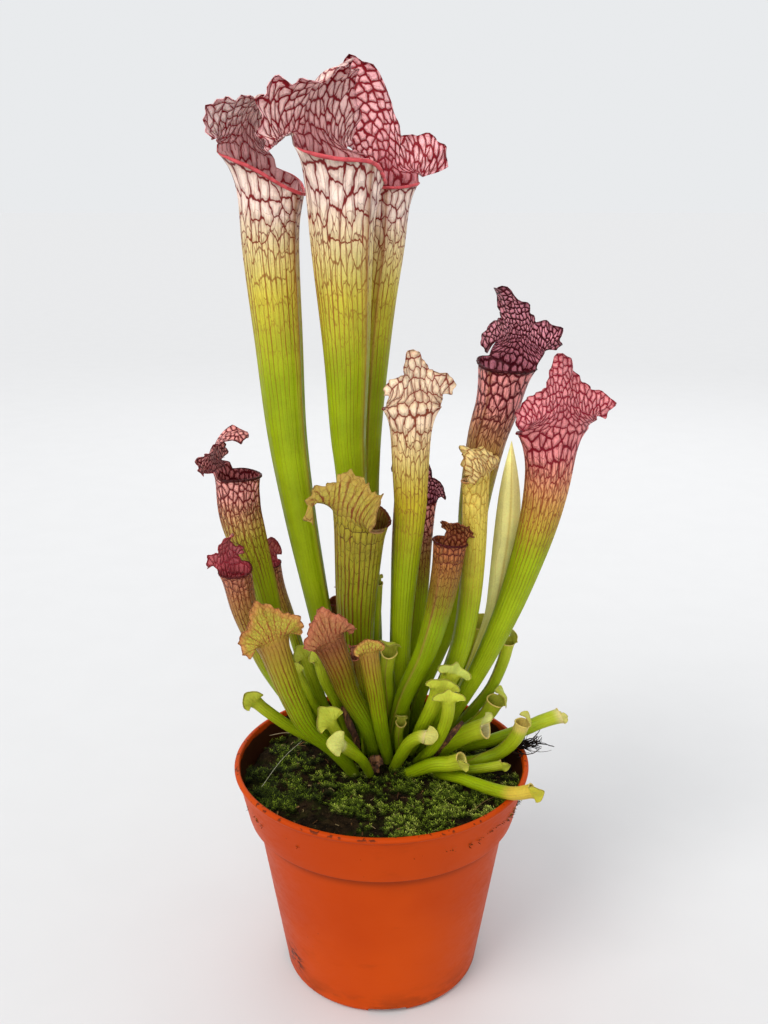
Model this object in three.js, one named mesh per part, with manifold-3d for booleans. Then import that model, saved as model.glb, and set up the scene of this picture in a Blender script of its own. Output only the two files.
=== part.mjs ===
// A clump of trumpet pitchers growing in the peat of a round nursery pot.
// Millimetres, +Z up. The origin is the middle of the pot's underside.
import * as THREE from 'three';
import Module from 'manifold-3d';
import { mergeVertices } from 'three/addons/utils/BufferGeometryUtils.js';

const wasm = await Module();
wasm.setup();

// Pot
const POT_HEIGHT = 94;
const RIM_RADIUS = 60;
const RIM_BEAD = 0.7;
const COLLAR_BOTTOM = 72;
const COLLAR_BOTTOM_RADIUS = 55.2;
const BODY_TOP_RADIUS = 52;
const FOOT_RADIUS = 41;
const FOOT_ROUNDING = 3;
const FOOT_RING = 1.8;
const WALL = 1.3;
const FLOOR_BOTTOM = 2.5;
const FLOOR_THICKNESS = 1.6;
const CENTRE_PAD_RADIUS = 9;
const POT_SIDES = 52;
const NOTCH_WIDTH = 14.5;
const NOTCH_HEIGHT = 2.3;
const NOTCH_COUNT = 4;
const NOTCH_TURN = 3.4;
const DRAIN_RADIUS = 4;
const DRAIN_SIDES = 10;
const DRAIN_CIRCLE = 26;
const DRAIN_COUNT = 6;

// Peat
const PEAT_LEVEL = 84;
const PEAT_SIDES = 40;
const PEAT_RINGS = [1, 0.8, 0.55, 0.28, 0];
// Its slight swells, as waves with their height, their turns per millimetre in x and y, and a shift.
const PEAT_WAVES = [
  { height: 0.5, x: 0.13, y: 0.11, shift: 0.6 },
  { height: 0.3, x: -0.19, y: 0.24, shift: 0 },
];
const GAP = 0.3;

// Leaves
const ROOT_DEPTH = 6;
const ROOT_STEEPNESS = 0.9;
const HOLE_SIDES = 6;
const HOLE_MARGIN = 0.5;
const HOLE_TOP = 88;
const LEAF_WALL = 0.8;
const LARGE_MOUTH = 4.8;
const THROAT = 2;
const THROAT_SHARE = 0.35;
const LARGE = { shaft: 6, throat: [0.6, 1], hollow: 3, front: 6, back: 8, hood: 4 };
const SMALL = { shaft: 3, throat: [1], hollow: 2, front: 4, back: 4, hood: 2 };
const SPINDLE_SIDES = 10;
const SPINDLE_ROWS = 14;
const BLADE_ROWS = 8;

// Every leaf is a trumpet: a tube that widens from a foot in the peat to a slanted mouth, with a
// ruffled hood on the back of the mouth. Radii and lengths are in millimetres, angles in degrees.
// az is the way the mouth faces, turned from +X towards +Y. The mouth slants by tilt towards dip,
// which is turned from az, and crest lifts its front. neck is half of the arc of the mouth that
// carries the hood, and fan is how far the hood opens to each side. lean and arch are the hood's
// slopes at its root and its tip, turn swings its tip to one side, and waist draws it in between
// its tip and its side lobes. cup is the curvature across it, below 0 where its sides roll back.
// A leaf with a girth is a closed spindle that has not opened yet.
const USUAL = {
  foot: 2.2, mouth: 2.5, power: 1, bulge: 0, girth: 0, az: 0, tilt: 0.2, dip: 0, crest: 0,
  spout: 0.1, flare: 0.15, neck: 60, stalk: 2, long: 8, wide: 6, back: 0.6, lean: -8, arch: 50,
  tip: 0.15, waist: 0, fan: 105, turn: 0, cup: 0, wave: 0.6, waves: 3.5, skew: 0,
};

// Where a leaf's swellings lie along it, as shares of its length, and how far they spread.
const BULGE_PLACE = 0.84;
const BULGE_SPREAD = 0.11;
const GIRTH_POWER = 2.6;

// How far these spread around the mouth and the hood, in radians.
const FLARE_SPREAD = 0.75;
const SPOUT_SPREAD = 0.6;
const CREST_SPREAD = 0.9;
const TIP_SPREAD = 0.28;

// The hood's neck keeps its width up to a share of it, and its waves grow towards the margin.
const NECK_HOLD = 0.75;
const NECK_RISE = 0.45;
const WAVE_POWER = 1.8;
const ROLL_LIMIT = 2.6;
const NEARLY_FLAT = 1e-4;

// The rolled lip's thickness, and its growth with the mouth's radius.
const LIP_LEAST = 0.25;
const LIP_GROWTH = 0.08;

// Dead scraps between the leaves: narrow blades, rolled across by curl. The half wave of their width
// stops short of its end, and its power moves the widest place up.
const SCRAP_WAVE = 0.85;
const SCRAP_POWER = 1.5;
const SCRAPS = {
  dry_leaf: {
    path: [[19.5, 8, 84], [21.5, 2.5, 91], [23.5, -5, 100], [27.5, -10, 109], [32, -12, 116]],
    width: 3.6, start: 1, az: -60, curl: 0.5,
  },
  dry_blade: {
    path: [[-11, 15, 84], [-10.5, 7, 94], [-11.5, 0.5, 103], [-14, -2, 111], [-16, -3, 118]],
    width: 3, start: 1.2, az: -60, curl: 0.6,
  },
  dry_sheath: {
    path: [[-1.5, 3, 84], [-2.5, 2.5, 87], [-3, 1.5, 89.5], [-2, 0, 91], [-0.5, -1.5, 90]],
    width: 5, start: 2.5, az: -60, curl: -0.9,
  },
};

const LEAVES = {
  tall_left: {
    path: [[-15, 32, 84], [-21, 24, 120], [-28, 20, 162], [-33, 17, 194], [-37, 14, 228], [-39, 12, 264],
      [-41, 11, 301], [-40, 10, 325]],
    foot: 2.6, mouth: 11.6, power: 1.15, az: -35, tilt: 0.6, dip: 25, flare: 0.7, neck: 55, stalk: 7,
    long: 22, wide: 20, lean: -28, arch: 108, fan: 100, wave: 1.8, waves: 4,
  },
  tall_mid: {
    path: [[-8, 38, 84], [-9, 24, 135], [-11, 20, 173], [-12, 15, 210], [-13, 12, 229], [-13, 5, 261],
      [-14, -1, 298], [-14, -4, 327]],
    foot: 3, mouth: 13.2, power: 1.9, az: -40, tilt: 0.65, dip: 40, crest: 8, flare: 0.5, neck: 80,
    long: 30, wide: 25, lean: -26, arch: 95, fan: 100, wave: 2.4, waves: 4.5,
  },
  tall_right: {
    path: [[-2, 44, 84], [-3, 36, 130], [-5, 33, 168], [-6, 30, 206], [-5, 28, 237], [-2, 26, 275],
      [1, 26, 301], [2, 26, 322]],
    foot: 2.6, mouth: 9, power: 1.5, az: -90, tilt: 0.25, flare: 0.4, neck: 75, stalk: 3, long: 30,
    wide: 25, lean: -20, arch: 10, tip: 0.5, waist: 0.45, turn: 22, cup: -0.02, wave: 3, waves: 4,
  },
  pale_mid: {
    path: [[9, 29, 84], [9, 14, 112], [8, 6, 143], [9, 0, 170], [11, -4, 200], [11, -6, 220], [11, -8, 242]],
    foot: 2.6, mouth: 8, power: 1.6, az: 100, flare: 0.4, neck: 70, stalk: 7, long: 11, wide: 13.5,
    back: 0.5, lean: 8, arch: 20, tip: 0.35, waist: 0.3, fan: 100, cup: 0.02, wave: 1.5, skew: 0.15,
  },
  dark_right: {
    path: [[14, 40, 84], [17, 30, 107], [24, 28, 127], [31, 26, 148], [36, 24, 172], [38, 22, 198],
      [42, 20, 224], [46, 19, 239], [48, 18, 254]],
    foot: 2.4, mouth: 9.7, power: 1.7, az: -125, tilt: 0.08, spout: 0.2, flare: 0.3, stalk: 9,
    long: 18, wide: 19, lean: 5, arch: 40, tip: 0.35, waist: 0.42, fan: 110, turn: 14, cup: -0.02,
    wave: 2,
  },
  red_right: {
    path: [[21, 25, 84], [29, 14, 104], [41, 11, 129], [51, 8, 155], [58, 5, 179], [62, 2, 198],
      [64, 0, 215], [64, -2, 232]],
    foot: 2.4, mouth: 10, power: 1.5, az: 105, tilt: 0.3, flare: 0.4, neck: 75, stalk: 8, long: 19,
    wide: 18, back: 0.9, lean: 0, arch: 10, tip: 0.08, waist: 0.35, fan: 110, turn: -4, wave: 2.2,
  },
  cream: {
    path: [[15, 25, 84], [24, 6, 116], [32, 4, 140], [35, 1, 161], [36, -1, 181], [36, -3, 200],
      [36, -4, 214]],
    foot: 2.4, mouth: 5.1, power: 0.8, az: 150, tilt: 0.3, flare: 0.2, neck: 75, stalk: 3, long: 12,
    wide: 12, lean: 10, arch: 90, cup: 0.02, wave: 1,
  },
  pale_closed: {
    path: [[22, 33, 84], [34, 25, 112], [41, 22, 132], [46, 20, 148], [48, 18, 161], [50, 16, 179],
      [51, 14, 195], [51, 12, 213], [51, 12, 225]],
    foot: 1.4, mouth: 0.6, girth: 4.6, az: -90, tilt: 0, flare: 0, stalk: 0.5, long: 1, wide: 1,
    lean: 0, arch: 0, fan: 90, cup: 0.5, wave: 0,
  },
  dark_left: {
    path: [[-24, 33, 84], [-35, 22, 113], [-44, 16, 139], [-48, 12, 163], [-51, 10, 176], [-54, 8, 188],
      [-56, 6, 200], [-56, 5, 213]],
    mouth: 8.2, power: 1.6, bulge: 1.2, az: -12, tilt: 0.08, dip: 90, flare: 0.2, stalk: 5, long: 18.5,
    wide: 13, lean: -35, arch: 122, tip: 0.25, waist: 0.3, fan: 100, wave: 1.2,
  },
  red_low_left: {
    path: [[-22, 24, 84], [-34, 8, 110], [-45, 2, 132], [-51, -3, 151], [-54, -7, 164], [-56, -9, 179]],
    mouth: 5.8, power: 1.2, az: -48, tilt: 0.1, flare: 0.2, neck: 55, stalk: 3, long: 11, wide: 8.5,
    lean: -15, arch: 70, tip: 0.35, waist: 0.35, fan: 100, wave: 1,
  },
  red_behind: {
    path: [[-20, 41, 84], [-32, 36, 111], [-39, 33, 138], [-44, 31, 156], [-46, 30, 168]],
    foot: 1.8, mouth: 3.2, power: 1.1, az: -60, long: 9, lean: -10, wave: 0.8,
  },
  squat_old: {
    path: [[-5, 26, 84], [-9, 13, 113], [-10, 7, 142], [-10, 0, 163], [-9, -5, 183], [-8, -9, 201]],
    foot: 2.8, mouth: 9.9, power: 0.9, az: 50, tilt: 0.15, dip: -60, flare: 0.2, neck: 95, stalk: 5,
    long: 13, wide: 18, back: 0.8, lean: 5, arch: 75, waist: 0.1, fan: 115, turn: -15, cup: -0.02,
    wave: 1.6,
  },
  dark_back_a: {
    path: [[5, 43, 84], [6, 36, 121], [7, 33, 150], [8, 31, 178], [10, 30, 204]],
    foot: 2, mouth: 4.3, power: 1.2, az: -120, tilt: 0.1, neck: 50, stalk: 3, long: 10, wide: 10,
    lean: -10, arch: 40, wave: 1,
  },
  dark_back_b: {
    path: [[8, 36, 84], [13, 26, 125], [16, 21, 155], [17, 18, 182], [18, 16, 200]],
    foot: 2, mouth: 4, power: 1.2, az: -130, tilt: 0.1, long: 7, wide: 7, lean: -10, wave: 0.8,
  },
  red_mid: {
    path: [[3, 19, 84], [9, 2, 119], [17, -4, 141], [22, -8, 161], [25, -10, 179], [26, -11, 191]],
    foot: 2.4, mouth: 6.2, power: 1.2, az: -120, tilt: -0.12, flare: 0.1, neck: 45, stalk: 2.5,
    wide: 7.5, lean: -20, arch: 95, fan: 90, cup: 0.02,
  },
  front_left_big: {
    path: [[-12, 3, 84], [-19, -8, 101], [-29, -16, 116], [-34, -21, 130], [-38, -25, 145], [-41, -28, 158]],
    foot: 2.3, mouth: 5.8, az: 110, tilt: 0.25, flare: 0.2, neck: 75, stalk: 3, long: 12, wide: 12.5,
    lean: 0, arch: 60, tip: 0.25, waist: 0.15, fan: 115, cup: 0.01, wave: 1.4,
  },
  front_second: {
    path: [[-3, 15, 84], [-6, -2, 109], [-13, -9, 127], [-17, -17, 144], [-21, -22, 157]],
    foot: 2.3, mouth: 6.2, power: 1.1, az: 115, tilt: 0.1, flare: 0.2, neck: 75, stalk: 2.5, long: 11,
    wide: 10, lean: 0, arch: 75, waist: 0.15, fan: 110, turn: 15, wave: 1.4,
  },
  green_front: {
    path: [[3, 12, 84], [0, -5, 108], [-2, -13, 126], [-4, -18, 142], [-5, -20, 150]],
    mouth: 3.8, power: 0.9, az: 100, neck: 70, long: 4, lean: 0, fan: 110, wave: 0.7,
  },
  green_round: {
    path: [[2, 27, 84], [3, 11, 111], [2, 3, 129], [3, -1, 141]],
    foot: 1.8, mouth: 3, power: 1.1, az: -100, long: 5, wide: 4.5, lean: -10, arch: 110, fan: 100,
    cup: 0.05, wave: 0.5,
  },
  small_hood: {
    path: [[-7, 19, 84], [-8, 0, 119], [-10, -3, 132], [-11, -5, 141]],
    foot: 1.6, mouth: 2.5, power: 1.1, az: -110, stalk: 1.5, long: 4, wide: 3.5, lean: -5, arch: 70,
    fan: 100, wave: 0.4,
  },
  slender: {
    path: [[1, 35, 84], [-2, 16, 121], [-3, 11, 141], [-2, 8, 158], [-1, 6, 168]],
    foot: 1.4, mouth: 1.5, power: 0.9, az: -60, stalk: 1, long: 3, wide: 2.4, lean: 0, fan: 95,
    wave: 0.2,
  },
  brown_tip: {
    path: [[-13, 43, 84], [-16, 33, 108], [-18, 30, 133], [-20, 27, 152]],
    foot: 1.8, mouth: 3.4, power: 1.1, az: -150, stalk: 1.5, long: 5, wide: 4, lean: 0, arch: 60,
    fan: 100, wave: 0.5,
  },
  low_left_out: {
    path: [[-17, 13, 84], [-26, 2, 99], [-37, -4, 109], [-46, -9, 119], [-50, -11, 124]],
    foot: 1.8, mouth: 2.4, power: 0.6, az: 110, tilt: 0.3, neck: 70, stalk: 1.5, long: 5, wide: 4.5,
    lean: -20, arch: 20, fan: 110, wave: 0.4,
  },
  front_kite: {
    path: [[-7, 9, 84], [-11, -6, 99], [-17, -13, 110], [-20, -16, 117]],
    foot: 1.7, mouth: 2.3, power: 0.9, az: 125, tilt: 0.3, neck: 70, long: 6, lean: 5, tip: 0.3,
    fan: 100, wave: 0.5,
  },
  front_hook: {
    path: [[-5, 2, 84], [-8, -11, 98], [-13, -19, 107], [-16, -24, 112]],
    foot: 1.7, mouth: 2.4, power: 0.9, az: 165, tilt: 0.3, neck: 65, long: 6, wide: 5, lean: 0,
    arch: 120, fan: 100, cup: 0.06, wave: 0.4,
  },
  right_hood: {
    path: [[17, 18, 84], [21, 1, 111], [24, -3, 123], [28, -6, 134]],
    foot: 1.8, mouth: 3.5, az: 95, neck: 65, long: 4, wide: 7, lean: 5, tip: 0.2, waist: 0.2,
    wave: 0.9,
  },
  right_flare: {
    path: [[12, 18, 84], [16, -1, 106], [20, -8, 119], [23, -12, 130]],
    foot: 1.8, mouth: 3.3, power: 0.8, az: 95, flare: 0.3, neck: 80, stalk: 3, long: 3.5, wide: 7,
    lean: 5, arch: 30, tip: 0.1, fan: 95, wave: 0.5,
  },
  right_tee: {
    path: [[15, 11, 84], [20, -8, 101], [24, -14, 112], [26, -18, 122], [26, -20, 129]],
    foot: 1.8, mouth: 2.6, power: 0.7, az: 90, neck: 70, long: 3.5, wide: 6.5, lean: 5, arch: 60,
    waist: 0.15, fan: 95, wave: 0.4,
  },
  arch_low: {
    path: [[5, 6, 84], [8, -5, 97], [11, -10, 105], [15, -14, 110], [18, -16, 111]],
    foot: 1.8, mouth: 2.6, power: 0.7, az: -20, neck: 65, stalk: 1.5, long: 4, wide: 4, lean: 0,
    arch: 90, fan: 100, wave: 0.4,
  },
  low_big: {
    path: [[22, 13, 84], [27, 2, 97], [35, -4, 106], [42, -8, 111]],
    mouth: 4, power: 0.7, az: -20, tilt: 0.3, stalk: 1, long: 3.5, wide: 4.5, lean: -10, arch: 30,
    fan: 100, wave: 0.5,
  },
  behind_bulge: {
    path: [[27, 23, 84], [36, 14, 98], [44, 12, 106], [48, 10, 114]],
    foot: 1.8, mouth: 3.5, power: 0.8, az: -170, neck: 65, long: 7, wide: 5.5, lean: -10, arch: 130,
    cup: 0.06,
  },
  yellow_arch: {
    path: [[29, 16, 84], [37, 3, 89], [48, 1, 94], [55, -1, 102], [58, -2, 110]],
    foot: 2, mouth: 3, power: 0.6, az: 180, neck: 65, long: 5.5, wide: 4, lean: 0, arch: 130, fan: 95,
    cup: 0.05, wave: 0.3,
  },
  far_right: {
    path: [[33, 22, 84], [46, 12, 94], [59, 10, 100], [67, 10, 104], [75, 10, 107]],
    foot: 1.9, mouth: 3, power: 0.6, az: 90, stalk: 0.8, long: 1.6, wide: 2.4, lean: -5, arch: 10,
    fan: 95, wave: 0.3,
  },
  open_ring: {
    path: [[10, 1, 84], [20, -10, 95], [27, -14, 98], [32, -17, 101]],
    foot: 2, mouth: 3.3, power: 0.7, az: 90, tilt: 0.1, neck: 40, stalk: 1, long: 3, wide: 3,
    lean: -10, arch: 10, fan: 90, wave: 0.2,
  },
  under_ring: {
    path: [[27, 8, 84], [33, -5, 90], [42, -7, 92], [49, -8, 94]],
    foot: 1.7, mouth: 2, power: 0.6, az: 90, tilt: 0.1, stalk: 0.8, long: 2.5, wide: 2, lean: 0,
    arch: 10, fan: 95, wave: 0.2,
  },
  low_right: {
    path: [[20, 3, 84], [30, -12, 91], [38, -21, 93], [45, -29, 95], [51, -36, 98], [57, -39, 101]],
    foot: 1.9, mouth: 2.6, power: 0.5, az: 90, tilt: 0.1, stalk: 1, long: 4, wide: 3.5, lean: -10,
    arch: 30, fan: 100, wave: 0.4,
  },
  shade_hood: {
    path: [[8, 12, 84], [7, 3, 102], [8, 0, 109]],
    foot: 1.6, mouth: 2, az: -90, stalk: 1, long: 3, wide: 2.6, lean: -5, arch: 60, fan: 100,
    wave: 0.2,
  },
  behind_red: {
    path: [[28, 30, 84], [36, 21, 100], [46, 18, 115], [51, 17, 128], [53, 16, 138]],
    foot: 1.8, mouth: 2.6, power: 0.8, az: -150, stalk: 1, long: 6, wide: 3, lean: 0, arch: 60,
    fan: 95, wave: 0.3,
  },
  left_green_a: {
    path: [[-17, 26, 84], [-24, 16, 106], [-29, 13, 122], [-32, 12, 132]],
    foot: 1.9, mouth: 3, power: 0.9, az: 120, long: 5, wide: 5, lean: 5, arch: 70, wave: 0.5,
  },
  left_green_b: {
    path: [[-17, 20, 84], [-27, 8, 111], [-31, 5, 122], [-34, 4, 129]],
    foot: 1.4, mouth: 1.7, power: 0.8, az: 110, stalk: 1.5, long: 4, wide: 3, lean: 5, arch: 60,
    fan: 95, wave: 0.2,
  },
  left_green_c: {
    path: [[-12, 23, 84], [-17, 7, 111], [-23, 2, 127], [-25, 0, 137]],
    foot: 1.8, mouth: 2.6, power: 0.9, az: 110, long: 4.5, wide: 4.5, lean: 5, arch: 70, fan: 100,
    wave: 0.4,
  },
  behind_cream: {
    path: [[27, 38, 84], [33, 33, 108], [38, 29, 126], [41, 27, 141]],
    foot: 1.6, mouth: 2.4, power: 0.9, az: -90, stalk: 1.5, long: 5, wide: 4, lean: 0, arch: 60,
    fan: 100, wave: 0.3,
  },
};

const radians = THREE.MathUtils.degToRad;
const smooth = (t) => THREE.MathUtils.smoothstep(t, 0, 1);
const bell = (x, spread) => Math.exp(-((x / spread) ** 2));

function material(color, roughness) {
  return new THREE.MeshStandardMaterial({ color, roughness, metalness: 0 });
}

const PLASTIC = material('#cf5a20', 0.42);
const PEAT = material('#2f2b1c', 0.95);
const GREEN = material('#86a824', 0.5);
const RED = material('#8c2f3f', 0.5);
const PALE = material('#e3c9b4', 0.5);
const BROWN = material('#7d7032', 0.55);
const DRY = material('#8a5a34', 0.8);

const LOOKS = {
  tall_left: PALE,
  tall_mid: PALE,
  tall_right: PALE,
  pale_mid: PALE,
  cream: PALE,
  pale_closed: PALE,
  dark_right: RED,
  red_right: RED,
  dark_left: RED,
  red_low_left: RED,
  red_behind: RED,
  dark_back_a: RED,
  dark_back_b: RED,
  red_mid: RED,
  squat_old: BROWN,
  front_second: BROWN,
  brown_tip: BROWN,
};

// Solids for joining and cutting

function toSolid(geometry) {
  const bare = geometry.clone();
  bare.deleteAttribute('normal');
  bare.deleteAttribute('uv');
  const merged = mergeVertices(bare);
  return new wasm.Manifold(new wasm.Mesh({
    numProp: 3,
    vertProperties: new Float32Array(merged.attributes.position.array),
    triVerts: new Uint32Array(merged.index.array),
  }));
}

function toGeometry(solid) {
  const mesh = solid.getMesh();
  const geometry = new THREE.BufferGeometry();
  geometry.setAttribute('position', new THREE.BufferAttribute(mesh.vertProperties, 3));
  geometry.setIndex(new THREE.BufferAttribute(mesh.triVerts, 1));
  geometry.computeVertexNormals();
  return geometry;
}

// A profile of [radius, height] points, turned about the Z axis.
function turned(profile, sides) {
  const points = profile.map(([radius, height]) => new THREE.Vector2(radius, height));
  return new THREE.LatheGeometry(points, sides).rotateX(Math.PI / 2);
}

// Pot

const FLOOR_TOP = FLOOR_BOTTOM + FLOOR_THICKNESS;
const BODY_SLOPE = (BODY_TOP_RADIUS - FOOT_RADIUS) / (COLLAR_BOTTOM - FOOT_ROUNDING);
const COLLAR_SLOPE = (RIM_RADIUS - COLLAR_BOTTOM_RADIUS) / (POT_HEIGHT - COLLAR_BOTTOM);
const STEP_TOP = COLLAR_BOTTOM + WALL;

const bodyRadius = (z) => FOOT_RADIUS + BODY_SLOPE * (z - FOOT_ROUNDING);
const collarRadius = (z) => COLLAR_BOTTOM_RADIUS + COLLAR_SLOPE * (z - COLLAR_BOTTOM);
const innerRadius = (z) => (z < STEP_TOP ? bodyRadius(z) : collarRadius(z)) - WALL;

function potProfile() {
  const rounding = [];
  for (const turn of [0, 30, 60, 90]) {
    rounding.push([
      FOOT_RADIUS - FOOT_ROUNDING * (1 - Math.sin(radians(turn))),
      FOOT_ROUNDING * (1 - Math.cos(radians(turn))),
    ]);
  }
  const ringInside = FOOT_RADIUS - FOOT_ROUNDING - FOOT_RING;
  return [
    [0, 0],
    [CENTRE_PAD_RADIUS, 0],
    [CENTRE_PAD_RADIUS, FLOOR_BOTTOM],
    [ringInside, FLOOR_BOTTOM],
    [ringInside, 0],
    ...rounding,
    [BODY_TOP_RADIUS, COLLAR_BOTTOM],
    [COLLAR_BOTTOM_RADIUS, COLLAR_BOTTOM],
    [collarRadius(POT_HEIGHT - 3 * RIM_BEAD), POT_HEIGHT - 3 * RIM_BEAD],
    [RIM_RADIUS + RIM_BEAD, POT_HEIGHT - 2 * RIM_BEAD],
    [RIM_RADIUS + RIM_BEAD, POT_HEIGHT - RIM_BEAD],
    [RIM_RADIUS, POT_HEIGHT],
    [RIM_RADIUS - WALL, POT_HEIGHT],
    [innerRadius(STEP_TOP), STEP_TOP],
    [bodyRadius(STEP_TOP) - WALL, STEP_TOP],
    [bodyRadius(FLOOR_TOP) - WALL, FLOOR_TOP],
    [0, FLOOR_TOP],
  ];
}

function potGeometry() {
  let pot = toSolid(turned(potProfile(), POT_SIDES));
  for (let i = 0; i < NOTCH_COUNT; i += 1) {
    const angle = radians(NOTCH_TURN - 90 + (i * 360) / NOTCH_COUNT);
    const notch = new THREE.BoxGeometry(4 * FOOT_ROUNDING + FOOT_RING, NOTCH_WIDTH, 2 * NOTCH_HEIGHT);
    notch.translate(FOOT_RADIUS, 0, 0).rotateZ(angle);
    pot = pot.subtract(toSolid(notch));
  }
  for (let i = 0; i < DRAIN_COUNT; i += 1) {
    const drain = new THREE.CylinderGeometry(DRAIN_RADIUS, DRAIN_RADIUS, 4 * FLOOR_TOP, DRAIN_SIDES);
    drain.rotateX(Math.PI / 2).translate(DRAIN_CIRCLE, 0, 0).rotateZ(radians((i * 360) / DRAIN_COUNT));
    pot = pot.subtract(toSolid(drain));
  }
  return toGeometry(pot);
}

// Leaf surfaces

// The centre line starts below the peat, so that the foot stands in its hole.
function centreLine(path) {
  const points = path.map((p) => new THREE.Vector3(...p));
  const down = points[1].clone().sub(points[0]).normalize();
  down.z += ROOT_STEEPNESS;
  down.normalize().multiplyScalar(-ROOT_DEPTH / down.z);
  const curve = new THREE.CatmullRomCurve3([points[0].clone().add(down), ...points], false, 'catmullrom');
  curve.arcLengthDivisions = 24 * points.length;
  return curve;
}

function tubeRadius(leaf, s) {
  if (leaf.girth > 0) {
    return leaf.foot * (1 - s) + leaf.girth * Math.sin(Math.PI * s ** GIRTH_POWER);
  }
  const bulge = leaf.bulge * bell(s - BULGE_PLACE, BULGE_SPREAD);
  return leaf.foot + (leaf.mouth - leaf.foot) * s ** leaf.power + bulge;
}

// Where the throat begins, in which the leaf opens to its slanted and flared mouth.
function throatStart(leaf, curve) {
  return 1 - Math.min(THROAT_SHARE, (THROAT * leaf.mouth) / curve.getLength());
}

// The along, front and side directions at one place on the centre line.
function frameAt(leaf, curve, s) {
  const along = curve.getTangentAt(s);
  const face = new THREE.Vector3(Math.cos(radians(leaf.az)), Math.sin(radians(leaf.az)), 0);
  const front = face.addScaledVector(along, -face.dot(along)).normalize();
  return { s, place: curve.getPointAt(s), along, front, side: along.clone().cross(front) };
}

// The mouth flares beside the hood's neck and has a slight spout in front.
function flareAt(leaf, turn) {
  const fromFront = Math.min(Math.abs(turn), 2 * Math.PI - Math.abs(turn));
  const neckEdge = Math.PI - radians(leaf.neck);
  const beside = fromFront < neckEdge
    ? bell(neckEdge - fromFront, FLARE_SPREAD)
    : ((Math.PI - fromFront) / radians(leaf.neck)) ** 2;
  return leaf.flare * beside + leaf.spout * bell(fromFront, SPOUT_SPREAD);
}

// How far the rim stands above the end of the centre line.
function rimHeight(leaf, turn) {
  const fromFront = Math.min(Math.abs(turn), 2 * Math.PI - Math.abs(turn));
  const slant = -leaf.tilt * leaf.mouth * Math.cos(turn - radians(leaf.dip));
  return slant + leaf.crest * bell(fromFront, CREST_SPREAD);
}

// A point of the tube. open grows from 0 where the throat begins to 1 at the mouth.
function tubePoint(leaf, frame, open, turn, inset) {
  const reach = tubeRadius(leaf, frame.s) * (1 + open ** 3 * flareAt(leaf, turn)) - inset;
  const slant = smooth(open) * rimHeight(leaf, turn);
  return frame.place.clone()
    .addScaledVector(frame.front, reach * Math.cos(turn))
    .addScaledVector(frame.side, reach * Math.sin(turn))
    .addScaledVector(frame.along, slant);
}

// The hood, from its neck at rise 0 to its margin at rise 1, and from one side at across -1 to the
// other at 1. Its outline is laid out flat, bent lengthwise from lean to arch, and curved across.
function hoodPoint(leaf, frame, across, rise) {
  const radius = tubeRadius(leaf, 1);
  const neck = radians(leaf.neck);
  const fan = across * radians(leaf.fan);
  const length = Math.cos(fan) >= 0 ? leaf.long : leaf.long * leaf.back;
  const ellipse = 1 / Math.hypot(Math.sin(fan) / leaf.wide, Math.cos(fan) / length);
  const lobed = Math.sin(2 * THREE.MathUtils.clamp(fan, -Math.PI / 2, Math.PI / 2)) ** 2;
  const shape = leaf.tip * bell(fan, TIP_SPREAD) + leaf.skew * Math.sin(fan) - leaf.waist * lobed;
  const reach = ellipse * (1 + shape);
  const way = fan + radians(leaf.turn) * rise;
  const start = (1 - rise) ** 2;
  const middle = 2 * rise * (1 - rise);
  const end = rise ** 2;
  const x = across * radius * neck * (start + NECK_HOLD * middle) + end * reach * Math.sin(way);
  const y = leaf.stalk * (middle + end) + end * reach * Math.cos(way);

  const lean = radians(leaf.lean);
  const bend = (radians(leaf.arch) - lean) / (leaf.stalk + leaf.long * (1 + leaf.tip));
  const slope = lean + bend * Math.max(y, 0);
  const up = (Math.sin(slope) - Math.sin(lean)) / bend + Math.min(y, 0) * Math.cos(lean);
  const forward = (Math.cos(lean) - Math.cos(slope)) / bend + Math.min(y, 0) * Math.sin(lean);

  const curvature = 1 / radius + (leaf.cup + NEARLY_FLAT - 1 / radius) * smooth(rise / NECK_RISE);
  const roll = THREE.MathUtils.clamp(curvature * x, -ROLL_LIMIT, ROLL_LIMIT);
  const sideways = Math.sin(roll) / curvature;
  const wave = leaf.wave * rise ** WAVE_POWER * Math.sin(leaf.waves * way);
  const lift = (1 - Math.cos(roll)) / curvature + wave;
  const rim = rimHeight(leaf, Math.PI + across * neck);
  const slant = start * rim + (1 - start) * leaf.tilt * leaf.mouth * Math.cos(radians(leaf.dip));
  const push = radius * leaf.flare * across ** 2 * start;

  return frame.place.clone()
    .addScaledVector(frame.along, up + slant - lift * Math.sin(slope))
    .addScaledVector(frame.front, forward - radius + lift * Math.cos(slope) - push * Math.cos(across * neck))
    .addScaledVector(frame.side, -sideways - push * Math.sin(across * neck));
}

// The same place on the hood's front face, one leaf wall further in.
function hoodInside(leaf, frame, across, rise) {
  const d = 0.01;
  const edge = (a, b) => hoodPoint(leaf, frame, a, b);
  const acrossWay = edge(across + d, rise).sub(edge(across - d, rise));
  const upWay = edge(across, rise + d).sub(edge(across, rise - d));
  const inward = upWay.cross(acrossWay).normalize();
  return edge(across, rise).addScaledVector(inward, LEAF_WALL);
}

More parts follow.
